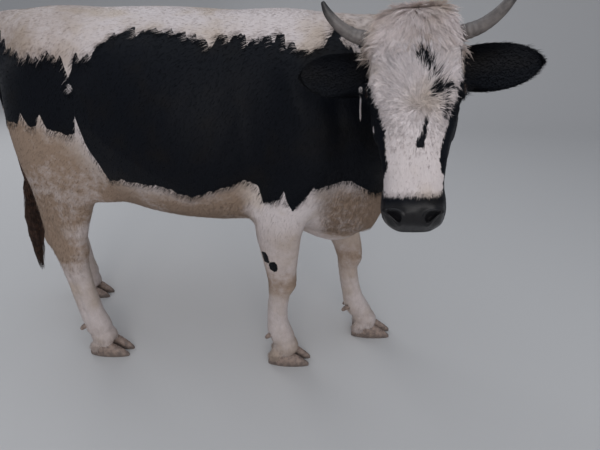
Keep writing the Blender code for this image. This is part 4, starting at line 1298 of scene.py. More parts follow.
def coat_piece(name, batches, material):
    """One object of many tufts, with its colour values and the map that it is baked on."""
    stack, tris, values, maps, start = [], [], [], [], 0
    for tufts, faces, traits, patch in batches:
        count, size = tufts.shape[:2]
        stack.append(tufts.reshape(-1, 3))
        tris.append((faces[None] + start + np.arange(count)[:, None, None] * size).reshape(-1, 3))
        values.append([v.ravel() for v in traits])
        maps.append(patch.reshape(-1, 2))
        start += count * size
    piece = mesh_object(name, np.concatenate(stack), np.concatenate(tris))
    for k, label in enumerate(("black", "dirt_and_shade", "tint")):
        set_values(piece.data, label, np.concatenate([v[k] for v in values]))
    corners = np.empty(len(piece.data.loops), np.int32)
    piece.data.loops.foreach_get("vertex_index", corners)
    layer = piece.data.uv_layers.new(name="OFBake")
    layer.data.foreach_set("uv", np.concatenate(maps)[corners].astype(np.float32).ravel())
    piece.data.materials.append(material)
    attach(piece, "root")
    return piece


def off_the_streak(roots, aims, runs, length, *more):
    """Only those tufts that leave the white streak open all along their length."""
    reached = [off_streaks(roots + runs * length[:, None] * share) for share in (0, 0.35, 0.7, 1.0)]
    clear = np.min(reached, axis=0) > STREAK_HALF_WIDTH + 0.0015
    return (v[clear] for v in (roots, aims, runs, length, *more))


def locks(roots, aims, runs, per_lock, spread, length, rng, **shape):
    """Each root becomes a lock of many hairs: they start beside each other, share one run, length and
    wave with small differences, and draw together at the tip."""
    count = len(roots)
    which = np.repeat(np.arange(count), per_lock)
    aside = np.cross(runs, aims)
    shift = rng.normal(0, 1, (len(which), 2)) * spread
    starts = roots[which] + aside[which] * shift[:, :1] + runs[which] * shift[:, 1:]
    inwards = -0.5 * shift[:, :1] / np.maximum(length[which][:, None], 0.01)
    aim_runs = unit(runs[which] + aside[which] * (inwards + rng.normal(0, 0.05, (len(which), 1))))
    phase = (rng.random(count) * 2 * pi)[which] + rng.normal(0, 0.35, len(which))
    long = length[which] * rng.uniform(0.80, 1.15, len(which))
    settings = {k: (v[which] if np.ndim(v) else v) for k, v in shape.items()}
    settings["lift"] = np.maximum(settings["lift"] + rng.normal(0, 0.05, len(which)), 0.03)
    return hair(starts, aims[which], aim_runs, long, rng=rng, phase=phase, **settings), starts, which


def squeezed(value, low, high):
    """Values from low..high brought into 0.01..0.99 of the bake's square."""
    return 0.01 + 0.98 * np.clip((value - low) / (high - low), 0, 1)


def trunk_unwrap(places):
    """Across: degrees round the trunk.  Up: how far forward."""
    return np.stack([squeezed(turn_of(places), 0, 180), squeezed(places[:, 0], -0.93, 0.75)], -1)


def neck_unwrap(places):
    """Across: degrees round the neck's middle line.  Up: from the shoulder to the poll."""
    x, y, z = places.T
    outer = np.where(x - 0.30 * y > 0.62, 1, -1)
    turn = np.degrees(np.arctan2(off_path(places[:, :2], CREST) * outer, z - 1.08))
    return np.stack([squeezed(turn, -180, 180), squeezed(-y + 0.5 * x, -0.25, 0.62)], -1)


def leg_unwrap(places):
    """Four strips side by side, one for each leg: across, degrees round it; up, its height."""
    ahead, is_front = leg_frame(places)
    middles = {key: np.mean([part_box("foreleg_" + key)[k].y for k in (0, 1)]) for key in SIDES}
    is_left = places[:, 1] > SPINE_Y
    aside = places[:, 1] - np.where(is_left, middles["left"], middles["right"])
    strip = 2 * is_front + is_left
    turn = squeezed(np.degrees(np.arctan2(aside, ahead)), -180, 180)
    return np.stack([(strip + turn) / 4, squeezed(places[:, 2], 0, 1.0)], -1)


def face_unwrap(places):
    """Across: degrees round the head's long axis.  Up: down the face."""
    a, d, f = in_head(places).T
    return np.stack([squeezed(np.degrees(np.arctan2(a, f + 0.06)), -180, 180), squeezed(d, -0.08, 0.54)], -1)


def ear_unwrap(places, normals):
    """Four leaves: the front and back of each ear, laid flat."""
    a, d, f = in_head(places).T
    leaf = 2 * (a > 0) + (normals @ HEAD_AXES[2] > 0)
    return np.stack([(leaf + squeezed(d, 0.04, 0.20)) / 4, squeezed(np.abs(a), 0.06, 0.30)], -1)


# Each tuft takes the coat's own colours from its root, with painted shade at its root and painted light at
# its tip.
coat_hair, tree, shader = finish_of("coat_hair")
coat = placed(
    tree, coat_colours, Vector=add_node(tree, "TexCoord").outputs["Object"], Black=attribute(tree, "black"),
    Dirt=attribute(tree, "dirt_and_shade"), Tint=attribute(tree, "tint"), Ragged=0.006,
)
tree.links.new(coat["Color"], shader.inputs["Base Color"])
tree.links.new(mixed(tree, coat["Black"], 0.66, 0.46, "FLOAT"), shader.inputs["Roughness"])
soft_sheen(shader)

# The hide's parts, each with a coat piece of its own.
centre_x, centre_y, centre_z = SKIN_CENTRES.T
centre_local = in_head(SKIN_CENTRES)
centre_black, _, centre_bare, centre_wet = markings(SKIN_CENTRES)
centre_skull = skull_share(centre_local)
centre_turn = turn_of(SKIN_CENTRES)
haired = (1 - ramp(centre_wet, 0.1, 0.4)) * (1 - 0.85 * centre_bare)
ear_part = (np.abs(centre_local[:, 0]) > 0.106) & (centre_skull > 0.5) & (centre_local[:, 1] < 0.21)
ear_part &= centre_local[:, 2] > -0.13
head_part = (centre_skull > 0.5) & ~ear_part
tail_part = (centre_x < -0.80) & (np.abs(centre_y - SPINE_Y) < 0.045) & (centre_z < 1.16)
neck_part = ~head_part & ~ear_part & (centre_x > 0.40) & (centre_z > 0.62)
leg_part = ~(head_part | ear_part | neck_part | tail_part) & (centre_z < 0.78)
leg_part &= ~((centre_turn > 120) & (centre_z > 0.60) & (np.abs(centre_x + 0.08) < 0.26))
trunk_part = ~(head_part | ear_part | neck_part | leg_part | tail_part)

# Tufts stand closest where the colours meet, and along the spine, the belly and the rump.
at_streak = ramp(-off_streaks(SKIN_CENTRES), -0.035, -0.030)
at_edge = ridge(centre_black, 0.015) * (1 - at_streak)
broken_form = ramp(-np.abs(centre_turn), -14, -2) + ramp(centre_turn, 120, 150)
broken_form = broken_form + 0.8 * ramp(-centre_x, 0.66, 0.76)
in_black = ramp(centre_black, -0.004, 0.004)
TUFT_WIDTH = 0.0010
TRUNK_TUFTS, NECK_TUFTS, LEG_TUFTS, FACE_TUFTS = 12000, 13500, 13200, 14500
for label, sign, seed in (("right", -1, 11), ("left", 1, 12)):
    for half, part in (("fore", centre_x > -0.12), ("rear", centre_x <= -0.12)):
        rng = np.random.default_rng(seed + (10 if half == "fore" else 20))
        side_part = ((centre_y - SPINE_Y) * sign > 0) & part & trunk_part
        density = side_part * haired * (0.45 + 0.25 * in_black + 2.2 * at_edge + 1.2 * broken_form)
        roots, aims = scatter(density, TRUNK_TUFTS, rng)
        runs = lie_of_coat(roots, aims, rng)
        on_rump = ramp(-roots[:, 0], 0.62, 0.76) * ramp(-roots[:, 2], -1.15, -1.0)
        longer = 0.008 * ramp(turn_of(roots), 120, 150) + 0.010 * on_rump
        edge_hair = 0.011 * ridge(markings(roots)[0], 0.012)
        length = (0.0135 + longer + edge_hair) * rng.uniform(0.75, 1.3, len(roots))
        batch = flat_tufts(roots, aims, runs, length, TUFT_WIDTH, trunk_unwrap(roots), 0.16, rng)
        coat_piece(f"coat_{half}_{label}", [batch], coat_hair)

rng = np.random.default_rng(31)
under_neck = ramp(-centre_z, -0.95, -0.80)
roots, aims = scatter(neck_part * (0.7 + 1.8 * at_edge + under_neck), NECK_TUFTS, rng)
length = (0.016 + 0.008 * ramp(-roots[:, 2], -0.95, -0.80) + 0.007 * ramp(roots[:, 2], 1.22, 1.28))
length = length * rng.uniform(0.75, 1.3, len(roots))
roots, aims, runs, length = off_the_streak(roots, aims, lie_of_coat(roots, aims, rng), length)
neck = flat_tufts(roots, aims, runs, length, TUFT_WIDTH, neck_unwrap(roots), 0.16, rng)

# The streak's own hairs are set along it, one after another, and lie down its length.
STREAK_HAIRS, ALWAYS_WHITE = 170, -0.02
near = np.flatnonzero(off_streaks(SKIN_CENTRES) < 0.02)
stretch = STREAKS[(rng.random(STREAK_HAIRS) > 0.30).astype(int)]
roots = stretch[:, 0] + (stretch[:, 1] - stretch[:, 0]) * rng.random((STREAK_HAIRS, 1))
roots = roots + rng.normal(0, 0.0011, roots.shape)
under = near[np.linalg.norm(roots[:, None] - SKIN_CENTRES[near], axis=2).argmin(1)]
aims = unit(normal[triangles[under]].sum(1))
roots = roots - aims * ((roots - SKIN_CENTRES[under]) * aims).sum(1)[:, None]
runs = laid(unit(stretch[:, 1] - stretch[:, 0]) + rng.normal(0, 0.05, roots.shape), aims)
made = hair(roots, aims, runs, rng.uniform(0.008, 0.014, STREAK_HAIRS), TUFT_WIDTH, 3, 0.06, rng, sway=0.03)
tone = rng.normal(0.2, 0.1, STREAK_HAIRS)
streak = coloured(made, roots, neck_unwrap(roots), tone, black=ALWAYS_WHITE)

# Behind the right horn the white of the crest hangs over the black in a few loose locks.
HANGING = np.array([(0.4441, 0.0310, 1.2747), (0.4728, 0.0103, 1.2578), (0.4923, -0.0113, 1.2440)])
roots, aims = scatter(ramp(-off_path(SKIN_CENTRES, HANGING), -0.010, -0.003), 46, rng)
runs = laid(unit(HANGING[2] - HANGING[0]) + (0, 0, -0.30) + rng.normal(0, 0.14, roots.shape), aims)
length = rng.uniform(0.018, 0.032, len(roots))
made, starts, which = locks(
    roots, aims, runs, 6, 0.0026, length, rng,
    width=0.0009, rings=3, lift=0.16, sway=0.12, waves=0.8, sag=0.1,
)
tone = rng.normal(0.45, 0.15, len(roots))[which]
hanging = coloured(made, starts, neck_unwrap(starts), tone, 0.4, black=ALWAYS_WHITE)
coat_piece("coat_neck", [neck, streak, hanging], coat_hair)

rng = np.random.default_rng(32)
heel_hair = ridge(centre_z - 0.075, 0.03)
roots, aims = scatter((leg_part | tail_part) * haired * (1 + heel_hair + tail_part), LEG_TUFTS, rng)
x, _, z = roots.T
feathers = ramp(-leg_frame(roots)[0], 0.015, 0.04) * ramp(z, 0.10, 0.16)
length = 0.0100 + 0.0060 * feathers + 0.0080 * ridge(z - 0.075, 0.025) + 0.004 * ramp(z, 0.55, 0.70)
curly = ramp(-x, 0.40, 0.46) * ramp(z, 0.34, 0.44) * ramp(-z, -0.80, -0.68)
length = (length + 0.007 * curly) * rng.uniform(0.75, 1.3, len(roots))
lift = lifted(len(roots), rng) + 0.10 * curly
runs = lie_of_coat(roots, aims, rng, 0.12)
made = hair(roots, aims, runs, length, 0.00095, 2, lift, rng, sway=0.20 * curly)
legs = coloured(made, roots, leg_unwrap(roots), rng.normal(0, 0.14, len(roots)))

# A fringe hangs over the tops of the claws.
hairline = ramp(-centre_z, -0.068, -0.050) * ramp(unit(SKIN_FACING)[:, 2], -0.75, -0.45)
hairline = hairline * ramp(centre_z, 0.018, 0.028)
roots, aims = scatter(leg_part * hairline, 2400, rng)
length = rng.uniform(0.010, 0.020, len(roots)) * (0.5 + 0.5 * ramp(roots[:, 2], 0.02, 0.05))
runs = unit(lie_of_coat(roots, aims, rng, 0.2) + 0.15 * aims)
made = hair(roots, aims, runs, length, 0.0010, 3, 0.22, rng, sway=0.08, sag=0.05)
fringe = coloured(made, roots, leg_unwrap(roots), rng.normal(0.05, 0.14, len(roots)))
coat_piece("coat_legs", [legs, fringe], coat_hair)


# ------------------------------------------------------------------ hair of the face and ears
# Very short on the bridge of the nose and cheeks, longer round the whorl of the forehead, and a
# soft fringe round the rims of the ears.
rng = np.random.default_rng(41)
a, d, f = centre_local.T
short_face = head_part * haired * (1 + 0.8 * ramp(-f, 0.02, 0.06))
roots, aims = scatter(short_face, FACE_TUFTS, rng)
_, down, out = in_head(roots).T
on_forehead = ramp(out, 0.0, 0.03) * ramp(-down, -0.34, -0.24)
length = 0.0075 + 0.0060 * on_forehead + 0.007 * ramp(-out, 0.09, 0.13)
length = length * rng.uniform(0.75, 1.3, len(roots))
roots, aims, runs, length, width = off_the_streak(
    roots, aims, lie_of_coat(roots, aims, rng, 0.14), length, 0.0007 + 0.0002 * on_forehead,
)
short = flat_tufts(roots, aims, runs, length, width, face_unwrap(roots), 0.14, rng)
at_hem = ridge(d - BLAZE_END + 0.006, 0.006) * ramp(f, -0.02, 0.0) * (centre_black < 0.002)
roots, aims = scatter(head_part * at_hem, 520, rng)
length = rng.uniform(0.008, 0.015, len(roots))
made = hair(roots, aims, lie_of_coat(roots, aims, rng, 0.2), length, 0.0009, 2, 0.16, rng)
hem_hair = coloured(made, roots, face_unwrap(roots), rng.normal(0.1, 0.14, len(roots)))
coat_piece("coat_face", [short, hem_hair], coat_hair)

# The forehead: locks that spring from the whorl, up and out to the poll and down to the nose.
rng = np.random.default_rng(42)
on_front = ramp(f, -0.015, 0.010) * ramp(d, 0.085, 0.115) * ramp(-d, -0.360, -0.215)
at_whorl = bell(np.stack([a, d, 0 * f], -1), (*WHORL, 0), (0.014, 0.014, 1))
roots, aims = scatter(head_part * haired * on_front * (1 + 2.5 * at_whorl), 1250, rng)
runs = lie_of_coat(roots, aims, rng, 0.16)
from_whorl = np.linalg.norm(in_head(roots)[:, :2] - WHORL, axis=1)
roots = roots - runs * 0.013 * ridge(from_whorl, 0.020)[:, None]
side, down, _ = both_sides(in_head(roots)).T
above, low_down, at_sides = ramp(-down, -0.22, -0.17), ramp(down, 0.21, 0.30), ramp(side, 0.055, 0.082)
runs = laid(runs * (1 - 0.6 * at_sides[:, None]) + HEAD_AXES[1] * 0.8 * at_sides[:, None], aims)
length = (0.023 + 0.012 * above - 0.014 * at_sides - 0.012 * low_down) * rng.uniform(0.8, 1.25, len(roots))
lift = 0.10 + 0.07 * above * ramp(from_whorl, 0.01, 0.05) - 0.04 * low_down - 0.05 * at_sides
made, starts, which = locks(
    roots, aims, runs, 7, 0.0022, length, rng, width=0.00085, rings=3, lift=lift, sway=0.10, waves=0.7,
)
# Painted light: the locks are lighter than the hide's white, against the shade they cast on each other;
# painted shade darkens them round the whorl and towards the nose.
tone = rng.normal(0.50, 0.20, len(roots)) - 0.20 * ramp(-from_whorl, -0.035, -0.005) - 0.25 * low_down
tone = (tone + 0.10 * at_sides)[which]
forehead = coloured(made, starts, face_unwrap(starts), tone + rng.normal(0, 0.08, len(which)), 0.30)
coat_piece("coat_forehead", [forehead], coat_hair)

# The poll: a thick mop, parted near the middle, that falls forward in a rounded fringe.
rng = np.random.default_rng(43)
on_poll = ramp(-d, -0.088, -0.070) * ramp(f, -0.115, -0.085) * ramp(-np.abs(a), -0.100, -0.085)
at_top = bell(np.stack([a, d, 0 * f], -1), (0.012, 0.004, 0), (0.016, 0.020, 1))
roots, aims = scatter(head_part * on_poll * (1 + 1.5 * at_top), 560, rng)
across, down, out = in_head(roots).T
forward, backward = ramp(-out, -0.04, 0.03)[:, None], ramp(-out, 0.055, 0.085)[:, None]
from_parting = (across - 0.004) / 0.09
apart = 1.7 * from_parting + 0.40 * np.tanh(from_parting / 0.06) * ramp(down, 0.020, 0.050)
springs, falls, lies_back = (
    np.stack([aside * apart, onward + 0 * apart, outward + 0 * apart], -1)
    for aside, onward, outward in ((1.2, -0.1, 1.0), (1.0, 1.0, 0.10), (0.8, -0.6, -1.0))
)
runs = (springs * forward + falls * (1 - forward)) * (1 - backward) + lies_back * backward
runs = runs @ HEAD_AXES
roots = roots - runs * 0.012 * (ridge(from_parting, 0.20) * (1 - 0.8 * backward[:, 0]))[:, None]
behind = ramp(-out, 0.04, 0.10)
length = (0.048 + 0.014 * rng.random(len(roots))) * (1 - 0.30 * ramp(down, 0.03, 0.08)) * (1 - 0.4 * behind)
length = length * (1 - 0.25 * ramp(-across, 0.05, 0.08) - 0.50 * ramp(across, 0.045, 0.075))
made, starts, which = locks(
    roots, aims, laid(runs, aims), 10, 0.0040, length, rng, width=0.00100, rings=5,
    lift=0.30 - 0.12 * behind + 0.25 * ridge(out + 0.070, 0.014), sway=0.12, waves=0.9, sag=0.12,
)
# Painted light: the locks are lighter than the hide's white, against the shade they cast on each other.
tone = rng.normal(0.95, 0.24, len(roots))[which] + rng.normal(0, 0.08, len(which))
poll = coloured(made, starts, face_unwrap(starts), tone, 0.4)
# The cream of the poll's middle is its own; painted shade darkens a patch on the right of the top and the
# tips along the lower edge of the fringe.
poll_soil_and_shade = 0.07 + 0.30 * bell(in_head(starts), (0.010, 0.06, 0.0), (0.035, 0.08, 0.2))
poll_soil_and_shade += 0.35 * bell(in_head(starts), (-0.044, 0.000, 0.0), (0.018, 0.014, 0.06))
tips = in_head(made[0][:, -1])
fringe_shade = ridge(tips[:, 1] - 0.098, 0.016) * ramp(-np.abs(tips[:, 0] - 0.01), -0.050, -0.030)
poll[2][1] = poll_soil_and_shade[:, None] + 0.75 * fringe_shade[:, None] * ramp(made[2], 0.45, 0.95)[None]
coat_piece("coat_poll", [poll], coat_hair)

# White tufts cover the roots of the horns and hang at the roots of the ears.
rng = np.random.default_rng(44)
batches = []
for centre, radii, count, lean, long in (
    ((0.080, 0.050, -0.028), (0.020, 0.030, 0.028), 150, (1.0, 0.10, 0.35), 0.036),
    ((0.090, 0.105, -0.040), (0.014, 0.022, 0.028), 80, (0.5, 1.00, 0.20), 0.020),
    ((0.108, 0.070, -0.048), (0.010, 0.010, 0.014), 26, (1.0, 0.45, 0.05), 0.034),
):
    roots, aims = scatter(head_part * bell(both_sides(centre_local), centre, radii), count, rng)
    side = np.sign(in_head(roots)[:, :1])
    runs = (np.array(lean) * np.concatenate([side, np.ones((len(roots), 2))], 1)) @ HEAD_AXES
    runs = unit(runs + rng.normal(0, 0.12, runs.shape) - 0.6 * aims * (runs * aims).sum(1)[:, None])
    length = long * rng.uniform(0.7, 1.2, len(roots)) * np.where((side[:, 0] > 0) & (long > 0.035), 0.5, 1.0)
    made, starts, which = locks(
        roots, aims, runs, 8, 0.0034, length, rng,
        width=0.0009, rings=4, lift=0.25, sway=0.12, waves=0.8, sag=0.15,
    )
    # Painted light: these tufts are lighter than the hide's white, against the shade of the horns and ears
    # over them.
    tone = rng.normal(0.80, 0.20, len(roots))[which] + rng.normal(0, 0.10, len(which))
    batches.append(coloured(made, starts, face_unwrap(starts), tone, 0.4, black=-0.01, dirt_and_shade=0.06))
coat_piece("coat_horn_roots", batches, coat_hair)

# The ears: flat hair on the backs, longer inside, and a fringe that runs past both rims.
rng = np.random.default_rng(45)
roots, aims = scatter(ear_part, 7000, rng)
length = (0.010 + 0.006 * ramp(aims @ HEAD_AXES[2], 0.1, 0.5)) * rng.uniform(0.75, 1.3, len(roots))
roots, aims, runs, length = off_the_streak(roots, aims, lie_of_coat(roots, aims, rng, 0.16), length)
leaf_hair = flat_tufts(roots, aims, runs, length, 0.0008, ear_unwrap(roots, aims), 0.16, rng)
rim_share = ear_part * ramp(-np.abs(unit(normal[triangles].sum(1)) @ HEAD_AXES[2]), -0.75, -0.35)
rim_share = rim_share * ramp(np.abs(a), 0.112, 0.125)
roots, aims = scatter(rim_share, 2400, rng)
across = in_head(roots)[:, :1]
outward = (np.sign(across) * (1, 0, 0) + (0, 0, 0.15)) @ HEAD_AXES
runs = unit(outward + 0.75 * aims + rng.normal(0, 0.16, aims.shape))
length = (0.011 + 0.017 * ramp(-np.abs(across[:, 0]), -0.27, -0.16)) * rng.uniform(0.6, 1.2, len(roots))
roots, aims, runs, length = off_the_streak(roots, aims, runs, length)
made = hair(roots, aims, runs, length, 0.00065, 3, 0.10, rng, sway=0.08, sag=0.08)
rim_hair = coloured(made, roots, ear_unwrap(roots, aims), rng.normal(0, 0.16, len(roots)))
coat_piece("coat_ears", [leaf_hair, rim_hair], coat_hair)


# ------------------------------------------------------------------ the eyes
# Dark brown balls with a clear bulging front: a level oval pupil, a ring of brown, and a
# smoky white that hardly shows between the black lids.
BALL_RADIUS, CORNEA_RISE, IRIS_REACH = EYE_RADIUS - 0.0006, 0.0011, 0.64
for label, side in SIDES.items():
    frame_of_eye = eye_frame(side)
    polar = np.linspace(0, pi, 48)
    round_eye = np.linspace(0, 2 * pi, 64, endpoint=False)
    reach = BALL_RADIUS + CORNEA_RISE * ramp(-polar, -0.80, -0.45)
    local = np.stack([
        reach[:, None] * np.sin(polar)[:, None] * np.cos(round_eye),
        reach[:, None] * np.sin(polar)[:, None] * np.sin(round_eye),
        reach[:, None] * np.cos(polar)[:, None] * np.ones_like(round_eye),
    ], -1).reshape(-1, 3)
    places = on_head(eye_centre(side) + local @ frame_of_eye)
    faces = grid_faces(len(polar), len(round_eye), wrap=True)
    ball = mesh_object(f"eyeball_{label}", places, faces if side > 0 else faces[:, ::-1])
    mend(ball.data, merge=0.00002, outwards=True)
    local = in_head(positions(ball.data)) - eye_centre(side)
    along, over, out = (local @ frame_of_eye.T / BALL_RADIUS).T
    off_axis = np.hypot(along, over) + 2 * (out < 0)
    set_values(ball.data, "ring", off_axis / IRIS_REACH)
    set_values(ball.data, "pupil", np.hypot(along / 0.36, over / 0.19) + 4 * (out < 0))
    set_values(ball.data, "round", np.arctan2(over, along))
    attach(ball, "root")
    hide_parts("eye_" + label)

IRIS_BROWNS = (0.030, 0.013, 0.006, 1), (0.085, 0.040, 0.018, 1)
IRIS_RIM, PUPIL_BLACK = (0.010, 0.007, 0.006, 1), (0.004, 0.006, 0.010, 1)
EYE_WHITE, EYE_VEINS = (0.280, 0.215, 0.180, 1), (0.200, 0.080, 0.060, 1)
wet_eye, tree, shader = finish_of("wet_eye")
spot = add_node(tree, "TexCoord").outputs["Object"]
fibres = add_node(tree, "CombineXYZ")
tree.links.new(maths(tree, "MULTIPLY", attribute(tree, "round"), 9.0), fibres.inputs[0])
tree.links.new(attribute(tree, "ring"), fibres.inputs[1])
fibre = noise(tree, fibres.outputs[0], 2.2, 3.0)
brown = mixed(tree, fibre, *IRIS_BROWNS)
brown = mixed(tree, stepped(tree, attribute(tree, "ring"), 0.80, 1.0), brown, IRIS_RIM)
veins = noise(tree, spot, 380.0, 4.0)
smoky = mixed(tree, stepped(tree, veins, 0.45, 0.7), EYE_WHITE, EYE_VEINS)
colour = mixed(tree, stepped(tree, attribute(tree, "ring"), 0.99, 1.10), brown, smoky)
colour = mixed(tree, stepped(tree, attribute(tree, "pupil"), 0.92, 1.08), PUPIL_BLACK, colour)
tree.links.new(colour, shader.inputs["Base Color"])
shader.inputs["Roughness"].default_value = 0.06
shader.inputs["Coat Weight"].default_value = 1.0
shader.inputs["Coat Roughness"].default_value = 0.02
for label in SIDES:
    bpy.data.objects[f"eyeball_{label}"].data.materials.append(wet_eye)

# Lashes: a row of stiff black hairs on the upper lid, curved out and up, fewer on the lower.
rng = np.random.default_rng(51)
lash_batches = []
for label, side in SIDES.items():
    frame_of_eye = eye_frame(side)
    for upper, count, long in ((1, 90, 0.017), (-1, 34, 0.008)):
        along = rng.uniform(-0.66, 0.66, count)
        half = SLIT_ABOVE if upper > 0 else SLIT_BELOW
        over = upper * half * (1.10 - (along / SLIT_LENGTH) ** 2)
        aim = np.stack([along, over, np.sqrt(np.maximum(1 - along**2 - over**2, 0.05))], -1)
        roots = on_head(eye_centre(side) + (aim * (LID_REACH + 0.0002)) @ frame_of_eye)
        aims = unit((aim @ frame_of_eye) @ HEAD_AXES)
        lean = np.stack([0.45 * along, np.full(count, 0.75 * upper), np.full(count, 0.55)], -1) @ frame_of_eye
        runs = unit(lean @ HEAD_AXES + rng.normal(0, 0.07, (count, 3)))
        length = long * rng.uniform(0.75, 1.1, count)
        made = hair(roots, aims, runs, length, 0.00028, 4, 0.30, rng, sway=0.05)
        lash_batches.append(coloured(made, roots, face_unwrap(roots), rng.normal(0, 0.1, count)))
coat_piece("lashes", lash_batches, coat_hair)


# ------------------------------------------------------------------ the horns
# Two hollow sheaths of grey horn over bony cores, grown out of the sides of the poll: ringed and
# grooved near the skull, smooth and nearly black at the tip, curved out, forwards and up.
def flowing(rows, count):
    """Catmull-Rom curve through rows of numbers: count rows, evenly spread over its pieces."""
    rows = np.asarray(rows, float)
    padded = np.vstack([2 * rows[0] - rows[1], rows, 2 * rows[-1] - rows[-2]])
    place = np.linspace(0, len(rows) - 1, count)
    piece = np.minimum(place.astype(int), len(rows) - 2)
    t = (place - piece)[:, None]
    a, b, c, d = (padded[piece + k] for k in range(4))
    return 0.5 * (2 * b + (c - a) * t + (2 * a - 5 * b + 4 * c - d) * t**2 + (3 * b - a - 3 * c + d) * t**3)


# The horn's middle line on the head: (across, down, front, radius).
HORN_ROWS = [
    (0.070, 0.054, -0.030, 0.0178), (0.112, 0.049, -0.020, 0.0166), (0.146, 0.040, -0.006, 0.0146),
    (0.174, 0.022, 0.010, 0.0124), (0.196, -0.002, 0.024, 0.0094), (0.207, -0.024, 0.035, 0.0042),
]
HORN_LENGTHS, HORN_AROUND = 150, 40
for label, side in SIDES.items():
    rows = flowing(HORN_ROWS, HORN_LENGTHS)
    share = np.linspace(0, 1, HORN_LENGTHS)
    line = on_head(rows[:, :3] * (side, 1, 1))
    ahead = unit(np.gradient(line, axis=0))
    across = unit(np.cross(ahead, HEAD_AXES[2]))
    above = np.cross(across, ahead)
    rings = 0.00045 * np.sin(2 * pi * (share * 17 + 0.4 * np.sin(share * 9))) * ramp(-share, -0.62, -0.10)
    turn = np.linspace(0, 2 * pi, HORN_AROUND, endpoint=False)
    grooves = 0.00016 * np.sin(turn * 11 + 2 * np.sin(share * 14)[:, None])
    grooves = grooves * ramp(-share, -0.9, -0.5)[:, None]
    radius = rows[:, 3] * np.sqrt(np.maximum(1 - ramp(share, 0.965, 1.03) * 0.9, 0.02)) + rings
    radius = radius[:, None] * (1 + 0.05 * np.cos(2 * turn)) + grooves
    outward = across[:, None] * np.cos(turn)[:, None] + above[:, None] * np.sin(turn)[:, None]
    places = line[:, None] + outward * radius[..., None]
    faces = grid_faces(HORN_LENGTHS, HORN_AROUND, wrap=True)
    places, tris = closed_tube(places.reshape(-1, 3), faces, HORN_AROUND)
    horn = mesh_object(f"ringed_horn_{label}", places, tris)
    mend(horn.data, outwards=True)
    set_values(horn.data, "along", np.append(np.repeat(share, HORN_AROUND), [0.0, 1.0]))
    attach(horn, "root")
    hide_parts("horn_" + label)

HORN_GREYS = (0.150, 0.132, 0.125, 1), (0.085, 0.074, 0.072, 1)
HORN_STREAK, HORN_TIP = (0.200, 0.172, 0.150, 1), (0.020, 0.018, 0.019, 1)
horn_stuff, tree, shader = finish_of("horn_stuff")
spot = add_node(tree, "TexCoord").outputs["Object"]
along = attribute(tree, "along")
blotches = noise(tree, spot, 55.0, 4.0)
streaks = noise(tree, spot, 320.0, 3.0)
grey = mixed(tree, stepped(tree, blotches, 0.35, 0.70), *HORN_GREYS)
grey = mixed(tree, maths(tree, "MULTIPLY", stepped(tree, streaks, 0.40, 0.75), 0.45), grey, HORN_STREAK)
dark = stepped(tree, maths(tree, "MULTIPLY_ADD", blotches, 0.25, along), 0.70, 1.05)
tree.links.new(mixed(tree, dark, grey, HORN_TIP), shader.inputs["Base Color"])
tree.links.new(stepped(tree, streaks, 0.2, 0.9, 0.34, 0.55), shader.inputs["Roughness"])
bump = add_node(tree, "Bump", in_Strength=0.5, in_Distance=0.0004)
tree.links.new(streaks, bump.inputs["Height"])
tree.links.new(bump.outputs["Normal"], shader.inputs["Normal"])
for label in SIDES:
    bpy.data.objects[f"ringed_horn_{label}"].data.materials.append(horn_stuff)


# ------------------------------------------------------------------ the hooves
# Two long claws on each foot, of grey-brown horn in rings that run level with the hairline, worn
# and soiled at the sole, and two small dewclaws behind each fetlock, all grown out of the skin.

# A claw's sections: (forward, half width, height above, depth below its middle).
CLAW_ROWS = np.array([
    (-0.0660, 0.0120, 0.0160, 0.012), (-0.0580, 0.0180, 0.0290, 0.017), (-0.0330, 0.0228, 0.0440, 0.020),
    (0.0, 0.0236, 0.0560, 0.020), (0.0340, 0.0212, 0.0440, 0.018), (0.0640, 0.0162, 0.0275, 0.014),
    (0.0850, 0.0102, 0.0150, 0.010), (0.0950, 0.0044, 0.0075, 0.006),
])
CLAW_STRETCH, CLAW_TURN_IN, CLAW_POWER = 1.0435, 0.0070, 2 / 2.3
CLAW_BEHIND, CLAW_WIDEST, CLAW_RING = 0.068, 0.0260, 0.0075
CLAW_HORN = (0.300, 0.220, 0.180, 1), (0.165, 0.118, 0.098, 1)
CLAW_BAND, CLAW_MUD = (0.390, 0.310, 0.265, 1), (0.085, 0.070, 0.062, 1)
horn_wall, tree, shader = finish_of("horn_wall")
spot = add_node(tree, "TexCoord").outputs["Object"]
height_node = add_node(tree, "SeparateXYZ")
tree.links.new(spot, height_node.inputs[0])
blotches = noise(tree, spot, 60.0, 4.0)
fine = noise(tree, spot, 420.0, 3.0)
turns = maths(tree, "MULTIPLY", attribute(tree, "growth"), 2 * pi)
banded = stepped(tree, maths(tree, "SINE", turns), -1.0, 1.0)
wall = mixed(tree, stepped(tree, blotches, 0.35, 0.68), *CLAW_HORN)
wall = mixed(tree, maths(tree, "MULTIPLY", banded, 0.16), wall, CLAW_BAND)
uneven_height = maths(tree, "MULTIPLY_ADD", blotches, -0.05, height_node.outputs[2])
mud = stepped(tree, uneven_height, -0.022, 0.012, 1.0, 0.0)
wall = mixed(tree, maths(tree, "MULTIPLY", mud, 0.60), wall, CLAW_MUD)
tree.links.new(wall, shader.inputs["Base Color"])
tree.links.new(stepped(tree, fine, 0.2, 0.8, 0.45, 0.75), shader.inputs["Roughness"])
bump = add_node(tree, "Bump", in_Strength=0.6, in_Distance=0.0005)
tree.links.new(maths(tree, "MULTIPLY_ADD", banded, 0.9, fine), bump.inputs["Height"])
tree.links.new(bump.outputs["Normal"], shader.inputs["Normal"])


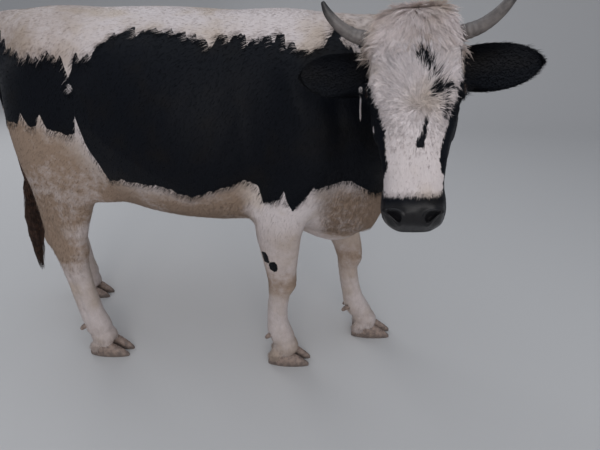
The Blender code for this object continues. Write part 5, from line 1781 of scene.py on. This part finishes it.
def claw_mesh(name, middle_x, axis_y, outward):
    """A lengthwise loft: each section is half * |cos|^p wide and above or below * |sin|^p tall, flattened
    at the floor, its middle drawing inwards towards the toe; rings of growth run round the wall."""
    rows = flowing(CLAW_ROWS, 64)
    forward, half, above, below = rows.T
    turn = np.linspace(0, 2 * pi, 48, endpoint=False)
    c, s = np.cos(turn), np.sin(turn)
    wide = np.sign(c) * np.abs(c) ** CLAW_POWER
    tall = np.sign(s) * np.abs(s) ** CLAW_POWER
    up = np.where(s > 0, above[:, None], below[:, None]) * tall
    z = below[:, None] * 0.5 + up
    growth = (z - 0.30 * forward[:, None]) / CLAW_RING
    rings = 0.00030 * np.sin(pi * growth + 0.6 * np.sin(2 * turn)) * (z > 0.006)
    drawn_in = CLAW_TURN_IN * np.maximum(forward, 0) / 0.1
    y = axis_y - outward * drawn_in[:, None] + wide * (half[:, None] + rings)
    x = middle_x + forward[:, None] * CLAW_STRETCH + 0 * turn
    places = np.stack([x, y, np.maximum(z + rings * tall, 0.0)], -1).reshape(-1, 3)
    faces = grid_faces(len(rows), len(turn), wrap=True)
    claw = mesh_object(name, *closed_tube(places, faces, len(turn)))
    mend(claw.data, outwards=True)
    set_values(claw.data, "growth", np.append(growth.ravel(), growth[[0, -1]].mean(1)))
    return claw


for node in sorted(frame["nodes"]):
    if node.startswith("claw"):
        low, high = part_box(node)
        outward = (1 if "left" in node else -1) * (1 if "outer" in node else -1)
        axis_y = (high.y if outward > 0 else low.y) - outward * CLAW_WIDEST
        piece = claw_mesh("hoof" + node[4:], low.x + CLAW_BEHIND * CLAW_STRETCH, axis_y, outward)
    elif node.startswith("dewclaw"):
        copied = frame["nodes"][node].data.copy()
        piece = bpy.data.objects.new("spur" + node[7:], copied)
        bpy.context.scene.collection.objects.link(piece)
        mend(copied, merge=0.00005, outwards=True)
        finer = piece.modifiers.new("finer", "SUBSURF")
        finer.levels = finer.render_levels = 2
        settle(piece)
        corners = positions(piece.data)
        set_values(piece.data, "growth", (corners[:, 2] - 0.5 * corners[:, 0]) / 0.006)
        piece.data.shade_smooth()
    else:
        continue
    piece.data.materials.clear()
    piece.data.materials.append(horn_wall)
    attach(piece, "root")
    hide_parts(node)


# ------------------------------------------------------------------ the tail's switch
# Long dark brown hair hangs from the tail's end in wavy locks that draw together at the tip.  The
# first locks grow from the skin of the tail, all round its last stretch, and hang over the rest.
corners = positions(frame["nodes"]["tail_switch"].data)
TAIL_END, SWITCH_TIP = corners[:, 2].max(), corners[:, 2].min()
middle_x, middle_y = (np.polyfit(corners[:, 2], corners[:, k], 3) for k in (0, 1))
corners = corners[np.argsort(corners[:, 2])]
from_middle = np.hypot(
    corners[:, 0] - np.polyval(middle_x, corners[:, 2]),
    corners[:, 1] - np.polyval(middle_y, corners[:, 2]),
)
SWITCH_HAIR, SWITCH_BROWNS = 0.00115, ((0.026, 0.014, 0.010, 1), (0.085, 0.045, 0.030, 1))
switch_hair, tree, shader = finish_of("switch_hair")
clumps = noise(tree, add_node(tree, "TexCoord").outputs["Object"], 60.0, 3.0)
# The tint scales the brown: random tone, with painted shade towards the roots and in the core.
lit = tree.nodes.new("ShaderNodeVectorMath")
lit.operation = "SCALE"
tree.links.new(mixed(tree, stepped(tree, clumps, 0.35, 0.70), *SWITCH_BROWNS), lit.inputs[0])
tree.links.new(maths(tree, "MULTIPLY_ADD", attribute(tree, "tint"), 0.8, 1.0), lit.inputs["Scale"])
tree.links.new(lit.outputs[0], shader.inputs["Base Color"])
shader.inputs["Roughness"].default_value = 0.42
shader.inputs["Specular IOR Level"].default_value = 0.35


def in_switch(z, share, turn):
    """A place in the switch: at height z, a share of its radius out from its middle line, at an angle."""
    radius = np.interp(z, corners[:, 2], from_middle) * share
    return np.stack([
        np.polyval(middle_x, z) + radius * np.cos(turn), np.polyval(middle_y, z) + radius * np.sin(turn), z,
    ], -1)


def switch_values(made, tint):
    """The colour values of a batch of the switch: next to no black, no dirt or shade from the hide, and the
    given tint, which carries painted shade.
    """
    none = np.zeros(made.shape[:2])
    return [none + 0.01, none, np.broadcast_to(tint, made.shape[:2])]


def long_hairs(line, guide, turn, height, painted_root_shade, rng):
    """A batch of the switch's hairs along middle lines (n, k, 3), their half width SWITCH_HAIR *
    (1 - t)^0.5, some thicker than others; rooted at a turn about the switch and a height."""
    count = len(line)
    taper = (1 - np.linspace(0, 1, line.shape[1])) ** 0.5
    half = (SWITCH_HAIR * rng.uniform(0.7, 1.3, count))[:, None, None] * taper[None, :, None]
    made, faces, along, beside = spikes(line, guide, half, 0.6)
    # Painted shade: each hair darker at its root, lighter at its tip.
    tint = rng.normal(0, 0.22, count)[:, None] + painted_root_shade * (along - 0.4)[None]
    turn = squeezed(np.degrees(turn) % 360, 0, 360)
    root_place = np.stack([turn, squeezed(height, SWITCH_TIP, TAIL_END + 0.12)], -1)
    return made, faces, switch_values(made, tint), bake_patch(root_place, along, beside)


rng = np.random.default_rng(61)
BUNDLES, SWITCH_HAIRS = 90, 1300
bundle = rng.integers(0, BUNDLES, SWITCH_HAIRS)
bundle_turn = (np.arange(BUNDLES) * 2.4)[bundle]
bundle_share = np.sqrt(rng.random(BUNDLES))[bundle][:, None]
start = TAIL_END - 0.004 - 0.20 * rng.random(SWITCH_HAIRS) ** 1.6
end = SWITCH_TIP + (0.20 * rng.random(BUNDLES) ** 1.5)[bundle] + rng.uniform(0, 0.05, SWITCH_HAIRS)
t = np.linspace(0, 1, 12)
z = start[:, None] + (end - start)[:, None] * t
scattered = rng.normal(0, 0.12, SWITCH_HAIRS)[:, None] * (1 - 0.6 * t)
share = np.clip(bundle_share * (0.30 + 0.75 * np.minimum(t * 2.0, 1)) + scattered, 0, 1)
turn = bundle_turn[:, None] + rng.normal(0, 0.35, SWITCH_HAIRS)[:, None] + 0.5 * t
line = in_switch(z, share * 0.94, turn)
wave_start = (rng.random(BUNDLES) * 2 * pi)[bundle][:, None]
wave = 0.0035 * np.sin(2 * pi * z / 0.085 + wave_start) * np.minimum(t * 2, 1)
line = line + np.stack([wave * np.cos(turn + 1.2), wave * np.sin(turn + 1.2), 0 * wave], -1)
guide = np.stack([np.cos(turn[:, 0]), np.sin(turn[:, 0]), 0 * turn[:, 0]], -1)[:, None]
hanging_locks = long_hairs(line, guide, turn[:, 0], start, 0.5, rng)

on_tail = tail_part & (centre_z < TAIL_END + 0.11)
roots, aims = scatter(on_tail, 380, rng)
t = np.linspace(0, 1, 9)
turn = np.arctan2(aims[:, 1], aims[:, 0])[:, None] + 0.4 * t * rng.normal(0, 1, (len(roots), 1))
z = roots[:, 2:] - rng.uniform(0.14, 0.26, (len(roots), 1)) * t
line = in_switch(z, rng.uniform(0.75, 1.0, (len(roots), 1)) + 0 * z, turn)
joined = ramp(-z, -(TAIL_END - 0.005), -(TAIL_END - 0.05))[..., None]
beside_tail = roots[:, None] + aims[:, None] * (0.0015 + 0.006 * np.sin(pi * t[None, :, None]))
beside_tail[..., 2] = z
line = beside_tail * (1 - joined) + line * joined
first_locks = long_hairs(line, aims[:, None], turn[:, 0], roots[:, 2], 0.4, rng)

# A slim core closes the view through the hair; it is painted dark, as shade inside the switch.
CORE_ROWS, CORE_AROUND = 30, 24
core_z = np.linspace(TAIL_END + 0.004, SWITCH_TIP + 0.10, CORE_ROWS)[:, None]
core_turn = np.linspace(0, 2 * pi, CORE_AROUND, endpoint=False)
core_share = 0.50 * np.sqrt(np.linspace(1, 0.02, CORE_ROWS))[:, None]
core = in_switch(core_z + 0 * core_turn, core_share, core_turn).reshape(-1, 3)
core, core_faces = closed_tube(core, grid_faces(CORE_ROWS, CORE_AROUND, wrap=True), CORE_AROUND)
core_patch = np.stack([
    squeezed(np.degrees(np.arctan2(core[:, 1] - SPINE_Y, core[:, 0] + 0.86)), -180, 180),
    squeezed(core[:, 2], SWITCH_TIP, TAIL_END + 0.12),
], -1)[None]
core_part = (core[None], core_faces, switch_values(core[None], -0.5), core_patch)
switch = coat_piece("switch_locks", [hanging_locks, first_locks, core_part], switch_hair)
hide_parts("tail_switch")
